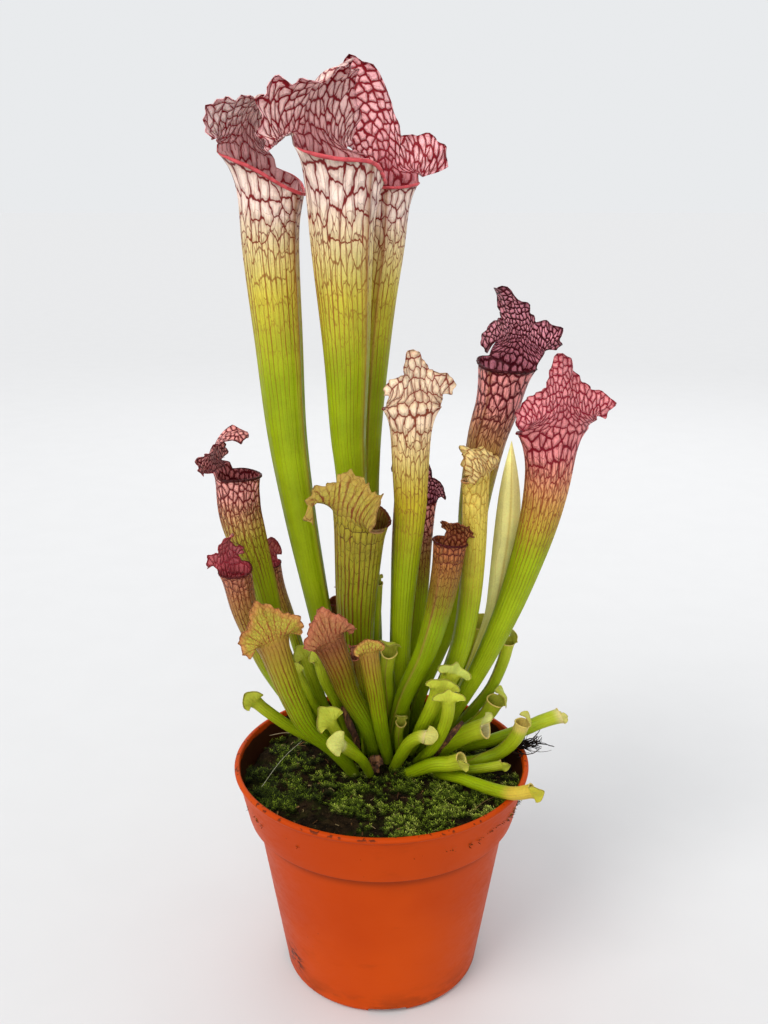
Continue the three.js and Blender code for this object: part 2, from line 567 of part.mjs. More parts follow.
// Vertices and triangles of one closed body, put together from rows of points.
class Shell {
  constructor() {
    this.places = [];
    this.corners = [];
  }

  add(point) {
    this.places.push(point.x, point.y, point.z);
    return this.places.length / 3 - 1;
  }

  triangle(a, b, c) {
    if (a !== b && b !== c && c !== a) this.corners.push(a, b, c);
  }

  // The square a, b, c, d, split from a to c, or from b to d where crossed is set.
  square(a, b, c, d, crossed) {
    if (crossed) {
      this.triangle(a, b, d);
      this.triangle(b, c, d);
    } else {
      this.triangle(a, b, c);
      this.triangle(a, c, d);
    }
  }

  fan(ring, centre, flipped) {
    ring.forEach((corner, i) => {
      const next = ring[(i + 1) % ring.length];
      if (flipped) this.triangle(next, corner, centre);
      else this.triangle(corner, next, centre);
    });
  }

  geometry() {
    const geometry = new THREE.BufferGeometry();
    geometry.setAttribute('position', new THREE.Float32BufferAttribute(this.places, 3));
    geometry.setIndex(this.corners);
    geometry.computeVertexNormals();
    return geometry;
  }
}

const gridOf = (leaf) => (leaf.mouth >= LARGE_MOUTH ? LARGE : SMALL);

function evenly(from, to, count) {
  return Array.from({ length: count }, (_, i) => from + ((to - from) * i) / count);
}

// The places along a leaf where it has a row of vertices.
function rowPlaces(leaf, curve) {
  if (leaf.girth > 0) return evenly(0, 1, SPINDLE_ROWS);
  const grid = gridOf(leaf);
  const start = throatStart(leaf, curve);
  return [
    ...evenly(0, start, grid.shaft),
    start,
    ...grid.throat.map((open) => start + (1 - start) * open),
  ];
}

// A trumpet leaf as one thin shell: up the outside, over the lip or the hood, and down the inside.
function trumpetGeometry(leaf) {
  const grid = gridOf(leaf);
  const curve = centreLine(leaf.path);
  const neck = radians(leaf.neck);
  const edge = Math.PI - neck;
  const turns = [...evenly(-edge, edge, grid.front), ...evenly(edge, 2 * Math.PI - edge, grid.back)];
  const shell = new Shell();

  const places = rowPlaces(leaf, curve);
  const start = throatStart(leaf, curve);
  const ring = (s, inset) => {
    const frame = frameAt(leaf, curve, s);
    const open = Math.max(0, (s - start) / (1 - start));
    return turns.map((turn) => shell.add(tubePoint(leaf, frame, open, turn, inset)));
  };
  const outside = places.map((s) => ring(s, 0));
  const hollow = places.slice(-1 - grid.hollow).reverse();
  const inside = hollow.map((s) => ring(s, LEAF_WALL));
  const rimOutside = outside[outside.length - 1];
  const rimInside = inside[0];

  // The rolled lip, over the front of the mouth only.
  const top = frameAt(leaf, curve, 1);
  const lip = LIP_LEAST + LIP_GROWTH * leaf.mouth;
  const bead = turns.map((turn, i) => {
    if (i === 0 || i >= grid.front) return null;
    const out = new THREE.Vector3()
      .addScaledVector(top.front, Math.cos(turn))
      .addScaledVector(top.side, Math.sin(turn));
    const rim = tubePoint(leaf, top, 1, turn, 0);
    return [
      shell.add(rim.clone().addScaledVector(out, lip)),
      shell.add(rim.clone().addScaledVector(out, 0.5 * lip).addScaledVector(top.along, lip)),
    ];
  });

  // The hood's two faces. Their first rows are the back of the mouth's rims.
  const hoodOutside = [];
  const hoodInner = [];
  for (let level = 0; level <= grid.hood; level += 1) {
    hoodOutside.push([]);
    hoodInner.push([]);
    for (let i = 0; i <= grid.back; i += 1) {
      const column = (grid.front + i) % turns.length;
      const across = (2 * i) / grid.back - 1;
      const rise = level / grid.hood;
      const root = level === 0;
      hoodOutside[level].push(root ? rimOutside[column] : shell.add(hoodPoint(leaf, top, across, rise)));
      hoodInner[level].push(root ? rimInside[column] : shell.add(hoodInside(leaf, top, across, rise)));
    }
  }

  // One strip of squares between each pair of neighbouring columns.
  const joinRows = (lower, upper, i, crossed) => {
    const j = (i + 1) % lower.length;
    shell.square(lower[i], lower[j], upper[j], upper[i], crossed);
  };
  turns.forEach((_, i) => {
    for (let row = 1; row < outside.length; row += 1) joinRows(outside[row - 1], outside[row], i, false);
    for (let row = 1; row < inside.length; row += 1) joinRows(inside[row - 1], inside[row], i, true);
  });
  for (let i = 0; i < grid.front; i += 1) {
    const j = i + 1;
    const left = bead[i] ?? [rimOutside[i], rimInside[i]];
    const right = bead[j] ?? [rimOutside[j], rimInside[j]];
    shell.square(rimOutside[i], rimOutside[j], right[0], left[0], false);
    shell.square(left[0], right[0], right[1], left[1], false);
    shell.square(left[1], right[1], rimInside[j], rimInside[i], false);
  }
  for (let level = 0; level < grid.hood; level += 1) {
    const [low, high] = [hoodOutside[level], hoodOutside[level + 1]];
    const [lowIn, highIn] = [hoodInner[level], hoodInner[level + 1]];
    for (let i = 0; i < grid.back; i += 1) {
      shell.square(low[i], low[i + 1], high[i + 1], high[i], false);
      shell.square(highIn[i], highIn[i + 1], lowIn[i + 1], lowIn[i], true);
    }
    shell.square(low[0], high[0], highIn[0], lowIn[0], false);
    shell.square(low[grid.back], lowIn[grid.back], highIn[grid.back], high[grid.back], true);
  }
  const margin = hoodOutside[grid.hood];
  const marginIn = hoodInner[grid.hood];
  for (let i = 0; i < grid.back; i += 1) {
    shell.square(margin[i], margin[i + 1], marginIn[i + 1], marginIn[i], false);
  }
  shell.fan(outside[0], shell.add(curve.getPointAt(0)), true);
  shell.fan(inside[grid.hollow], shell.add(curve.getPointAt(hollow[grid.hollow])), false);
  return shell.geometry();
}

// A leaf that is still closed: a spindle drawn out to a point.
function spindleGeometry(leaf) {
  const curve = centreLine(leaf.path);
  const shell = new Shell();
  const turns = evenly(0, 2 * Math.PI, SPINDLE_SIDES);
  const rows = rowPlaces(leaf, curve).map((s) => {
    const frame = frameAt(leaf, curve, s);
    return turns.map((turn) => shell.add(tubePoint(leaf, frame, 0, turn, 0)));
  });
  for (let row = 1; row < rows.length; row += 1) {
    turns.forEach((_, i) => {
      const j = (i + 1) % turns.length;
      shell.square(rows[row - 1][i], rows[row - 1][j], rows[row][j], rows[row][i], false);
    });
  }
  shell.fan(rows[0], shell.add(curve.getPointAt(0)), true);
  shell.fan(rows[rows.length - 1], shell.add(curve.getPointAt(1)), false);
  return shell.geometry();
}

// A dead scrap: a blade that is widest past its middle and ends in a blunt point.
function scrapGeometry(scrap) {
  const curve = centreLine(scrap.path);
  const shell = new Shell();
  const rows = [];
  for (let row = 0; row <= BLADE_ROWS; row += 1) {
    const s = row / BLADE_ROWS;
    const frame = frameAt(scrap, curve, s);
    const swell = Math.sin(Math.PI * SCRAP_WAVE * s ** SCRAP_POWER);
    const half = 0.5 * (scrap.start + (scrap.width - scrap.start) * swell);
    const point = (across, depth) => frame.place.clone()
      .addScaledVector(frame.side, across * half)
      .addScaledVector(frame.front, depth + scrap.curl * half * across ** 2);
    rows.push([[1, 0], [0, 0], [-1, 0], [-1, LEAF_WALL], [0, LEAF_WALL], [1, LEAF_WALL]]
      .map(([across, depth]) => shell.add(point(across, depth))));
  }
  rows.slice(1).forEach((upper, k) => {
    const lower = rows[k];
    lower.forEach((_, i) => {
      const j = (i + 1) % lower.length;
      shell.square(lower[i], lower[j], upper[j], upper[i], i > 2);
    });
  });
  const [first, last] = [rows[0], rows[BLADE_ROWS]];
  shell.square(first[5], first[4], first[1], first[0], false);
  shell.square(first[4], first[3], first[2], first[1], false);
  shell.square(last[0], last[1], last[4], last[5], false);
  shell.square(last[1], last[2], last[3], last[4], false);
  return shell.geometry();
}

// The hole that a foot stands in, as a solid to cut from the peat. It follows the foot's own rows
// at these places up past the surface, a little wider than the half width that radiusAt gives.
function holeSolid(stem, curve, places, radiusAt) {
  const shell = new Shell();
  const turns = evenly(0, 2 * Math.PI, HOLE_SIDES);
  const ring = (s, shift) => {
    const frame = frameAt(stem, curve, s);
    const radius = (radiusAt(s) + HOLE_MARGIN) / Math.cos(Math.PI / HOLE_SIDES);
    return turns.map((turn) => shell.add(frame.place.clone()
      .addScaledVector(frame.along, shift)
      .addScaledVector(frame.front, radius * Math.cos(turn))
      .addScaledVector(frame.side, radius * Math.sin(turn))));
  };
  const above = places.findIndex((s) => curve.getPointAt(s).z > HOLE_TOP);
  const rows = [ring(0, -GAP), ...places.slice(1, above + 1).map((s) => ring(s, 0))];
  rows.slice(1).forEach((upper, k) => {
    const lower = rows[k];
    turns.forEach((_, i) => {
      const j = (i + 1) % turns.length;
      shell.square(lower[i], lower[j], upper[j], upper[i], false);
    });
  });
  const low = curve.getPointAt(0).addScaledVector(curve.getTangentAt(0), -GAP);
  shell.fan(rows[0], shell.add(low), true);
  shell.fan(rows[rows.length - 1], shell.add(curve.getPointAt(places[above])), false);
  return toSolid(shell.geometry());
}

// Peat

function peatSwell(x, y) {
  return PEAT_WAVES.reduce((sum, wave) => sum + wave.height * Math.sin(wave.x * x + wave.y * y + wave.shift), 0);
}

function peatGeometry(leaves, scraps) {
  const bottom = FLOOR_TOP + GAP;
  const edge = innerRadius(PEAT_LEVEL) - GAP;
  const step = STEP_TOP + GAP;
  const profile = [
    [0, bottom],
    [bodyRadius(bottom) - WALL - GAP, bottom],
    [bodyRadius(step) - WALL - GAP, step],
    [innerRadius(step) - GAP, step],
    ...PEAT_RINGS.map((part) => [part * edge, PEAT_LEVEL]),
  ];
  const geometry = turned(profile, PEAT_SIDES);
  const { position } = geometry.attributes;
  for (let i = 0; i < position.count; i += 1) {
    const [x, y, z] = [position.getX(i), position.getY(i), position.getZ(i)];
    if (z > step) position.setZ(i, z + peatSwell(x, y));
  }
  let peat = toSolid(geometry);
  leaves.forEach((leaf) => {
    const curve = centreLine(leaf.path);
    const hole = holeSolid(leaf, curve, rowPlaces(leaf, curve), (s) => tubeRadius(leaf, s));
    peat = peat.subtract(hole);
  });
  scraps.forEach((scrap) => {
    const curve = centreLine(scrap.path);
    const hole = holeSolid(scrap, curve, evenly(0, 1, BLADE_ROWS), () => scrap.start / 2 + LEAF_WALL);
    peat = peat.subtract(hole);
  });
  return toGeometry(peat);
}

// The whole plant

const plant = new THREE.Group();

function addMesh(name, geometry, look) {
  const mesh = new THREE.Mesh(geometry, look);
  mesh.name = name;
  plant.add(mesh);
}

const leaves = Object.entries(LEAVES).map(([name, leaf]) => ({ name, ...USUAL, ...leaf }));

addMesh('pot', potGeometry(), PLASTIC);
addMesh('peat', peatGeometry(leaves, Object.values(SCRAPS)), PEAT);
Object.entries(SCRAPS).forEach(([name, scrap]) => addMesh(name, scrapGeometry(scrap), DRY));
leaves.forEach((leaf) => {
  const look = LOOKS[leaf.name] ?? GREEN;
  addMesh(`leaf_${leaf.name}`, leaf.girth > 0 ? spindleGeometry(leaf) : trumpetGeometry(leaf), look);
});

export default plant;
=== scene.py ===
import math

import bpy
import numpy as np
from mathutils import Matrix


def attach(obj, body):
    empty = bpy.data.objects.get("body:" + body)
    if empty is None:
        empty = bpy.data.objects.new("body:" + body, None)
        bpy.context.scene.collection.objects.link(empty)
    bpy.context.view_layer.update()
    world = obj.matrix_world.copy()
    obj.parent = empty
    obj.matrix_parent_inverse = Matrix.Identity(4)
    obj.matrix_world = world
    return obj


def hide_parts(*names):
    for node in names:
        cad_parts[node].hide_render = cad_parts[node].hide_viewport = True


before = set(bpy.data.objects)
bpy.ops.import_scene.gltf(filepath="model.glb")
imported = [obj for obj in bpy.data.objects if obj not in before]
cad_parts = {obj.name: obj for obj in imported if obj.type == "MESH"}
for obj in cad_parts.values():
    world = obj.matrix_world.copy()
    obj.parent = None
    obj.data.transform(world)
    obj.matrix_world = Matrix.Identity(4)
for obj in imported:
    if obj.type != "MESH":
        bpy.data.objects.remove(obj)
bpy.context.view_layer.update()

MM = 0.001
TURN = 2 * math.pi

# Pot and peat, as in the CAD model
POT_HEIGHT = 94.0
RIM_RADIUS = 60.0
RIM_BEAD = 0.7
COLLAR_BOTTOM = 72.0
COLLAR_BOTTOM_RADIUS = 55.2
BODY_TOP_RADIUS = 52.0
FOOT_RADIUS = 41.0
FOOT_ROUNDING = 3.0
FOOT_RING = 1.8
COLLAR_SLOPE = (RIM_RADIUS - COLLAR_BOTTOM_RADIUS) / (POT_HEIGHT - COLLAR_BOTTOM)
BODY_SLOPE = (BODY_TOP_RADIUS - FOOT_RADIUS) / (COLLAR_BOTTOM - FOOT_ROUNDING)
WALL = 1.3
FLOOR_BOTTOM = 2.5
FLOOR_TOP = 4.1
CENTRE_PAD_RADIUS = 9.0
NOTCH_WIDTH = 14.5
NOTCH_HEIGHT = 2.3
NOTCH_COUNT = 4
NOTCH_TURN = 3.4
DRAIN_RADIUS = 4.0
DRAIN_CIRCLE = 26.0
DRAIN_COUNT = 6
SCUFF_PLACE = (-0.035, -0.022, 0.013)  # in metres, not in the CAD model
PEAT_LEVEL = 84.0
PEAT_WAVES = [(0.5, 0.13, 0.11, 0.6), (0.3, -0.19, 0.24, 0)]
PEAT_GAP = 0.3

# Leaves
ROOT_DEPTH = 6.0
ROOT_STEEPNESS = 0.9
THROAT = 2.0
THROAT_SHARE = 0.35
LARGE_MOUTH = 4.8
LONG_HOOD = 15
HOLLOW_FROM = 0.45
# A leaf's wall, columns on each half of its front and on its back, rows of its hood, and its frills
LARGE = dict(wall=0.5, half=16, back=72, up=22, long_up=34, frilly=1.35)
SMALL = dict(wall=0.4, half=12, back=28, up=10, long_up=10, frilly=0.3)
ROW_LENGTH = 4.5
THROAT_ROWS = 12
SPINDLE_SIDES = 48

# Where a leaf's swellings lie along it, as shares of its length, and how far they spread
BULGE_PLACE = 0.84
BULGE_SPREAD = 0.11
GIRTH_POWER = 2.6

# How far these spread around the mouth and the hood, in radians
FLARE_SPREAD = 0.75
SPOUT_SPREAD = 0.6
CREST_SPREAD = 0.9
TIP_SPREAD = 0.28
KEEL_SPREAD = 0.13

# The keel grows with the mouth up to its most, and ribs are this high at this radius
KEEL_GROWTH = 0.14
KEEL_MOST = 0.9
RIB_HEIGHT = 0.12
RIB_RADIUS = 9

# The hood's neck keeps its width up to a share of it, and its waves and frills grow to the margin.
# A frill is its turns, its depth in the outline and its height.
NECK_HOLD = 0.75
NECK_RISE = 0.45
WAVE_POWER = 1.8
FRILL_POWER = 5
FRILLS = [(8, 0.03, 0.035), (19, 0.022, 0.028), (33, 0.012, 0.014)]
DIMPLES = 0.006
HOOD_THINNING = 0.35
ROLL_LIMIT = 2.6
NEARLY_FLAT = 1e-4

# The rolled lip's least radius, its growth with the mouth's radius, and the steps round it
LIP_LEAST = 0.16
LIP_GROWTH = 0.045
LIP_STEPS = 8

# The leaves of the CAD model, with small_hood, brown_tip, slender, cream and right_hood moved by up to
# 1.3 mm to keep clear of their neighbours. USUAL is what a leaf has unless it says otherwise. foot,
# mouth, bulge, girth, crest, stalk, long, wide and wave are in millimetres, az, dip, neck, lean, arch,
# fan and turn in degrees, cup in 1/mm, and the others are shares, powers or counts. az is the way
# that the mouth faces, turned from +X towards +Y.
USUAL = dict(
    foot=2.2, mouth=2.5, power=1, bulge=0, girth=0, az=0, tilt=0.2, dip=0, crest=0, spout=0.1, flare=0.15,
    neck=60, stalk=2, long=8, wide=6, back=0.6, lean=-8, arch=50, tip=0.15, waist=0, fan=105,
    turn=0, cup=0, wave=0.6, waves=3.5, skew=0,
)
LEAVES = dict(
    tall_left=dict(
        path=[(-15, 32, 84), (-21, 24, 120), (-28, 20, 162), (-33, 17, 194), (-37, 14, 228),
              (-39, 12, 264), (-41, 11, 301), (-40, 10, 325)],
        foot=2.6, mouth=11.6, power=1.15, az=-35, tilt=0.6, dip=25, flare=0.7, neck=55, stalk=7, long=22,
        wide=20, lean=-28, arch=108, fan=100, wave=1.8, waves=4),
    tall_mid=dict(
        path=[(-8, 38, 84), (-9, 24, 135), (-11, 20, 173), (-12, 15, 210), (-13, 12, 229), (-13, 5, 261),
              (-14, -1, 298), (-14, -4, 327)],
        foot=3, mouth=13.2, power=1.9, az=-40, tilt=0.65, dip=40, crest=8, flare=0.5, neck=80, long=30,
        wide=25, lean=-26, arch=95, fan=100, wave=2.4, waves=4.5),
    tall_right=dict(
        path=[(-2, 44, 84), (-3, 36, 130), (-5, 33, 168), (-6, 30, 206), (-5, 28, 237), (-2, 26, 275),
              (1, 26, 301), (2, 26, 322)],
        foot=2.6, mouth=9, power=1.5, az=-90, tilt=0.25, flare=0.4, neck=75, stalk=3, long=30, wide=25,
        lean=-20, arch=10, tip=0.5, waist=0.45, turn=22, cup=-0.02, wave=3, waves=4),
    pale_mid=dict(
        path=[(9, 29, 84), (9, 14, 112), (8, 6, 143), (9, 0, 170), (11, -4, 200), (11, -6, 220),
              (11, -8, 242)],
        foot=2.6, mouth=8, power=1.6, az=100, flare=0.4, neck=70, stalk=7, long=11, wide=13.5, back=0.5,
        lean=8, arch=20, tip=0.35, waist=0.3, fan=100, cup=0.02, wave=1.5, skew=0.15),
    dark_right=dict(
        path=[(14, 40, 84), (17, 30, 107), (24, 28, 127), (31, 26, 148), (36, 24, 172), (38, 22, 198),
              (42, 20, 224), (46, 19, 239), (48, 18, 254)],
        foot=2.4, mouth=9.7, power=1.7, az=-125, tilt=0.08, spout=0.2, flare=0.3, stalk=9, long=18,
        wide=19, lean=5, arch=40, tip=0.35, waist=0.42, fan=110, turn=14, cup=-0.02, wave=2),
    red_right=dict(
        path=[(21, 25, 84), (29, 14, 104), (41, 11, 129), (51, 8, 155), (58, 5, 179), (62, 2, 198),
              (64, 0, 215), (64, -2, 232)],
        foot=2.4, mouth=10, power=1.5, az=105, tilt=0.3, flare=0.4, neck=75, stalk=8, long=19, wide=18,
        back=0.9, lean=0, arch=10, tip=0.08, waist=0.35, fan=110, turn=-4, wave=2.2),
    cream=dict(
        path=[(15, 25, 84), (24.1, 7, 116), (32, 4, 140), (35, 1, 161), (36, -1, 181), (36, -3, 200),
              (36, -4, 214)],
        foot=2.4, mouth=5.1, power=0.8, az=150, tilt=0.3, flare=0.2, neck=75, stalk=3, long=12, wide=12,
        lean=10, arch=90, cup=0.02, wave=1),
    pale_closed=dict(
        path=[(22, 33, 84), (34, 25, 112), (41, 22, 132), (46, 20, 148), (48, 18, 161), (50, 16, 179),
              (51, 14, 195), (51, 12, 213), (51, 12, 225)],
        foot=1.4, mouth=0.6, girth=4.6, az=-90, tilt=0, flare=0, stalk=0.5, long=1, wide=1, lean=0,
        arch=0, fan=90, cup=0.5, wave=0),
    dark_left=dict(
        path=[(-24, 33, 84), (-35, 22, 113), (-44, 16, 139), (-48, 12, 163), (-51, 10, 176),
              (-54, 8, 188), (-56, 6, 200), (-56, 5, 213)],
        mouth=8.2, power=1.6, bulge=1.2, az=-12, tilt=0.08, dip=90, flare=0.2, stalk=5, long=18.5,
        wide=13, lean=-35, arch=122, tip=0.25, waist=0.3, fan=100, wave=1.2),
    red_low_left=dict(
        path=[(-22, 24, 84), (-34, 8, 110), (-45, 2, 132), (-51, -3, 151), (-54, -7, 164), (-56, -9, 179)],
        mouth=5.8, power=1.2, az=-48, tilt=0.1, flare=0.2, neck=55, stalk=3, long=11, wide=8.5, lean=-15,
        arch=70, tip=0.35, waist=0.35, fan=100, wave=1),
    red_behind=dict(
        path=[(-20, 41, 84), (-32, 36, 111), (-39, 33, 138), (-44, 31, 156), (-46, 30, 168)],
        foot=1.8, mouth=3.2, power=1.1, az=-60, long=9, lean=-10, wave=0.8),
    squat_old=dict(
        path=[(-5, 26, 84), (-9, 13, 113), (-10, 7, 142), (-10, 0, 163), (-9, -5, 183), (-8, -9, 201)],
        foot=2.8, mouth=9.9, power=0.9, az=50, tilt=0.15, dip=-60, flare=0.2, neck=95, stalk=5, long=13,
        wide=18, back=0.8, lean=5, arch=75, waist=0.1, fan=115, turn=-15, cup=-0.02, wave=1.6),
    dark_back_a=dict(
        path=[(5, 43, 84), (6, 36, 121), (7, 33, 150), (8, 31, 178), (10, 30, 204)],
        foot=2, mouth=4.3, power=1.2, az=-120, tilt=0.1, neck=50, stalk=3, long=10, wide=10, lean=-10,
        arch=40, wave=1),
    dark_back_b=dict(
        path=[(8, 36, 84), (13, 26, 125), (16, 21, 155), (17, 18, 182), (18, 16, 200)],
        foot=2, mouth=4, power=1.2, az=-130, tilt=0.1, long=7, wide=7, lean=-10, wave=0.8),
    red_mid=dict(
        path=[(3, 19, 84), (9, 2, 119), (17, -4, 141), (22, -8, 161), (25, -10, 179), (26, -11, 191)],
        foot=2.4, mouth=6.2, power=1.2, az=-120, tilt=-0.12, flare=0.1, neck=45, stalk=2.5, wide=7.5,
        lean=-20, arch=95, fan=90, cup=0.02),
    front_left_big=dict(
        path=[(-12, 3, 84), (-19, -8, 101), (-29, -16, 116), (-34, -21, 130), (-38, -25, 145),
              (-41, -28, 158)],
        foot=2.3, mouth=5.8, az=110, tilt=0.25, flare=0.2, neck=75, stalk=3, long=12, wide=12.5, lean=0,
        arch=60, tip=0.25, waist=0.15, fan=115, cup=0.01, wave=1.4),
    front_second=dict(
        path=[(-3, 15, 84), (-6, -2, 109), (-13, -9, 127), (-17, -17, 144), (-21, -22, 157)],
        foot=2.3, mouth=6.2, power=1.1, az=115, tilt=0.1, flare=0.2, neck=75, stalk=2.5, long=11, wide=10,
        lean=0, arch=75, waist=0.15, fan=110, turn=15, wave=1.4),
    green_front=dict(
        path=[(3, 12, 84), (0, -5, 108), (-2, -13, 126), (-4, -18, 142), (-5, -20, 150)],
        mouth=3.8, power=0.9, az=100, neck=70, long=4, lean=0, fan=110, wave=0.7),
    green_round=dict(
        path=[(2, 27, 84), (3, 11, 111), (2, 3, 129), (3, -1, 141)],
        foot=1.8, mouth=3, power=1.1, az=-100, long=5, wide=4.5, lean=-10, arch=110, fan=100, cup=0.05,
        wave=0.5),
    small_hood=dict(
        path=[(-7, 19, 84), (-7.6, 1, 119), (-9.3, -1.9, 132), (-10.4, -4.2, 141)],
        foot=1.6, mouth=2.5, power=1.1, az=-110, stalk=1.5, long=4, wide=3.5, lean=-5, arch=70, fan=100,
        wave=0.4),
    slender=dict(
        path=[(1, 35, 84), (-1.6, 16.3, 121), (-2.1, 11.5, 141), (-1.4, 8.4, 158), (-1, 6, 168)],
        foot=1.4, mouth=1.5, power=0.9, az=-60, stalk=1, long=3, wide=2.4, lean=0, fan=95, wave=0.2),
    brown_tip=dict(
        path=[(-13, 43, 84), (-16, 33, 108), (-17.7, 30.3, 133), (-19.2, 27.8, 152)],
        foot=1.8, mouth=3.4, power=1.1, az=-150, stalk=1.5, long=5, wide=4, lean=0, arch=60, fan=100,
        wave=0.5),
    low_left_out=dict(
        path=[(-17, 13, 84), (-26, 2, 99), (-37, -4, 109), (-46, -9, 119), (-50, -11, 124)],
        foot=1.8, mouth=2.4, power=0.6, az=110, tilt=0.3, neck=70, stalk=1.5, long=5, wide=4.5, lean=-20,
        arch=20, fan=110, wave=0.4),
    front_kite=dict(
        path=[(-7, 9, 84), (-11, -6, 99), (-17, -13, 110), (-20, -16, 117)],
        foot=1.7, mouth=2.3, power=0.9, az=125, tilt=0.3, neck=70, long=6, lean=5, tip=0.3, fan=100,
        wave=0.5),
    front_hook=dict(
        path=[(-5, 2, 84), (-8, -11, 98), (-13, -19, 107), (-16, -24, 112)],
        foot=1.7, mouth=2.4, power=0.9, az=165, tilt=0.3, neck=65, long=6, wide=5, lean=0, arch=120,
        fan=100, cup=0.06, wave=0.4),
    right_hood=dict(
        path=[(17, 18, 84), (21.4, 1, 111), (24, -3, 123), (28, -6, 134)],
        foot=1.8, mouth=3.5, az=95, neck=65, long=4, wide=7, lean=5, tip=0.2, waist=0.2, wave=0.9),
    right_flare=dict(
        path=[(12, 18, 84), (16, -1, 106), (20, -8, 119), (23, -12, 130)],
        foot=1.8, mouth=3.3, power=0.8, az=95, flare=0.3, neck=80, stalk=3, long=3.5, wide=7, lean=5,
        arch=30, tip=0.1, fan=95, wave=0.5),
    right_tee=dict(
        path=[(15, 11, 84), (20, -8, 101), (24, -14, 112), (26, -18, 122), (26, -20, 129)],
        foot=1.8, mouth=2.6, power=0.7, az=90, neck=70, long=3.5, wide=6.5, lean=5, arch=60, waist=0.15,
        fan=95, wave=0.4),
    arch_low=dict(
        path=[(5, 6, 84), (8, -5, 97), (11, -10, 105), (15, -14, 110), (18, -16, 111)],
        foot=1.8, mouth=2.6, power=0.7, az=-20, neck=65, stalk=1.5, long=4, wide=4, lean=0, arch=90,
        fan=100, wave=0.4),
    low_big=dict(
        path=[(22, 13, 84), (27, 2, 97), (35, -4, 106), (42, -8, 111)],
        mouth=4, power=0.7, az=-20, tilt=0.3, stalk=1, long=3.5, wide=4.5, lean=-10, arch=30, fan=100,
        wave=0.5),
    behind_bulge=dict(
        path=[(27, 23, 84), (36, 14, 98), (44, 12, 106), (48, 10, 114)],
        foot=1.8, mouth=3.5, power=0.8, az=-170, neck=65, long=7, wide=5.5, lean=-10, arch=130, cup=0.06),
    yellow_arch=dict(
        path=[(29, 16, 84), (37, 3, 89), (48, 1, 94), (55, -1, 102), (58, -2, 110)],
        foot=2, mouth=3, power=0.6, az=180, neck=65, long=5.5, wide=4, lean=0, arch=130, fan=95, cup=0.05,
        wave=0.3),
    far_right=dict(
        path=[(33, 22, 84), (46, 12, 94), (59, 10, 100), (67, 10, 104), (75, 10, 107)],
        foot=1.9, mouth=3, power=0.6, az=90, stalk=0.8, long=1.6, wide=2.4, lean=-5, arch=10, fan=95,
        wave=0.3),
    open_ring=dict(
        path=[(10, 1, 84), (20, -10, 95), (27, -14, 98), (32, -17, 101)],
        foot=2, mouth=3.3, power=0.7, az=90, tilt=0.1, neck=40, stalk=1, long=3, wide=3, lean=-10,
        arch=10, fan=90, wave=0.2),
    under_ring=dict(
        path=[(27, 8, 84), (33, -5, 90), (42, -7, 92), (49, -8, 94)],
        foot=1.7, mouth=2, power=0.6, az=90, tilt=0.1, stalk=0.8, long=2.5, wide=2, lean=0, arch=10,
        fan=95, wave=0.2),
    low_right=dict(
        path=[(20, 3, 84), (30, -12, 91), (38, -21, 93), (45, -29, 95), (51, -36, 98), (57, -39, 101)],
        foot=1.9, mouth=2.6, power=0.5, az=90, tilt=0.1, stalk=1, long=4, wide=3.5, lean=-10, arch=30,
        fan=100, wave=0.4),
    shade_hood=dict(
        path=[(8, 12, 84), (7, 3, 102), (8, 0, 109)],
        foot=1.6, mouth=2, az=-90, stalk=1, long=3, wide=2.6, lean=-5, arch=60, fan=100, wave=0.2),
    behind_red=dict(
        path=[(28, 30, 84), (36, 21, 100), (46, 18, 115), (51, 17, 128), (53, 16, 138)],
        foot=1.8, mouth=2.6, power=0.8, az=-150, stalk=1, long=6, wide=3, lean=0, arch=60, fan=95,
        wave=0.3),
    left_green_a=dict(
        path=[(-17, 26, 84), (-24, 16, 106), (-29, 13, 122), (-32, 12, 132)],
        foot=1.9, mouth=3, power=0.9, az=120, long=5, wide=5, lean=5, arch=70, wave=0.5),
    left_green_b=dict(
        path=[(-17, 20, 84), (-27, 8, 111), (-31, 5, 122), (-34, 4, 129)],
        foot=1.4, mouth=1.7, power=0.8, az=110, stalk=1.5, long=4, wide=3, lean=5, arch=60, fan=95,
        wave=0.2),
    left_green_c=dict(
        path=[(-12, 23, 84), (-17, 7, 111), (-23, 2, 127), (-25, 0, 137)],
        foot=1.8, mouth=2.6, power=0.9, az=110, long=4.5, wide=4.5, lean=5, arch=70, fan=100, wave=0.4),
    behind_cream=dict(
        path=[(27, 38, 84), (33, 33, 108), (38, 29, 126), (41, 27, 141)],
        foot=1.6, mouth=2.4, power=0.9, az=-90, stalk=1.5, long=5, wide=4, lean=0, arch=60, fan=100,
        wave=0.3),
)

# Dead scraps between the leaves, as in the CAD model. The half wave of their width stops short of its
# end, and its power moves the widest place up.
SCRAP_WAVE = 0.85
SCRAP_POWER = 1.5
SCRAP_ROWS = 60
SCRAP_COLUMNS = 16
SCRAPS = dict(
    dry_leaf=dict(
        path=[(19.5, 8, 84), (21.5, 2.5, 91), (23.5, -5, 100), (27.5, -10, 109), (32, -12, 116)],
        width=3.6, start=1, az=-60, curl=0.5),
    dry_blade=dict(
        path=[(-11, 15, 84), (-10.5, 7, 94), (-11.5, 0.5, 103), (-14, -2, 111), (-16, -3, 118)],
        width=3, start=1.2, az=-60, curl=0.6),
    dry_sheath=dict(
        path=[(-1.5, 3, 84), (-2.5, 2.5, 87), (-3, 1.5, 89.5), (-2, 0, 91), (-0.5, -1.5, 90)],
        width=5, start=2.5, az=-60, curl=-0.9),
)

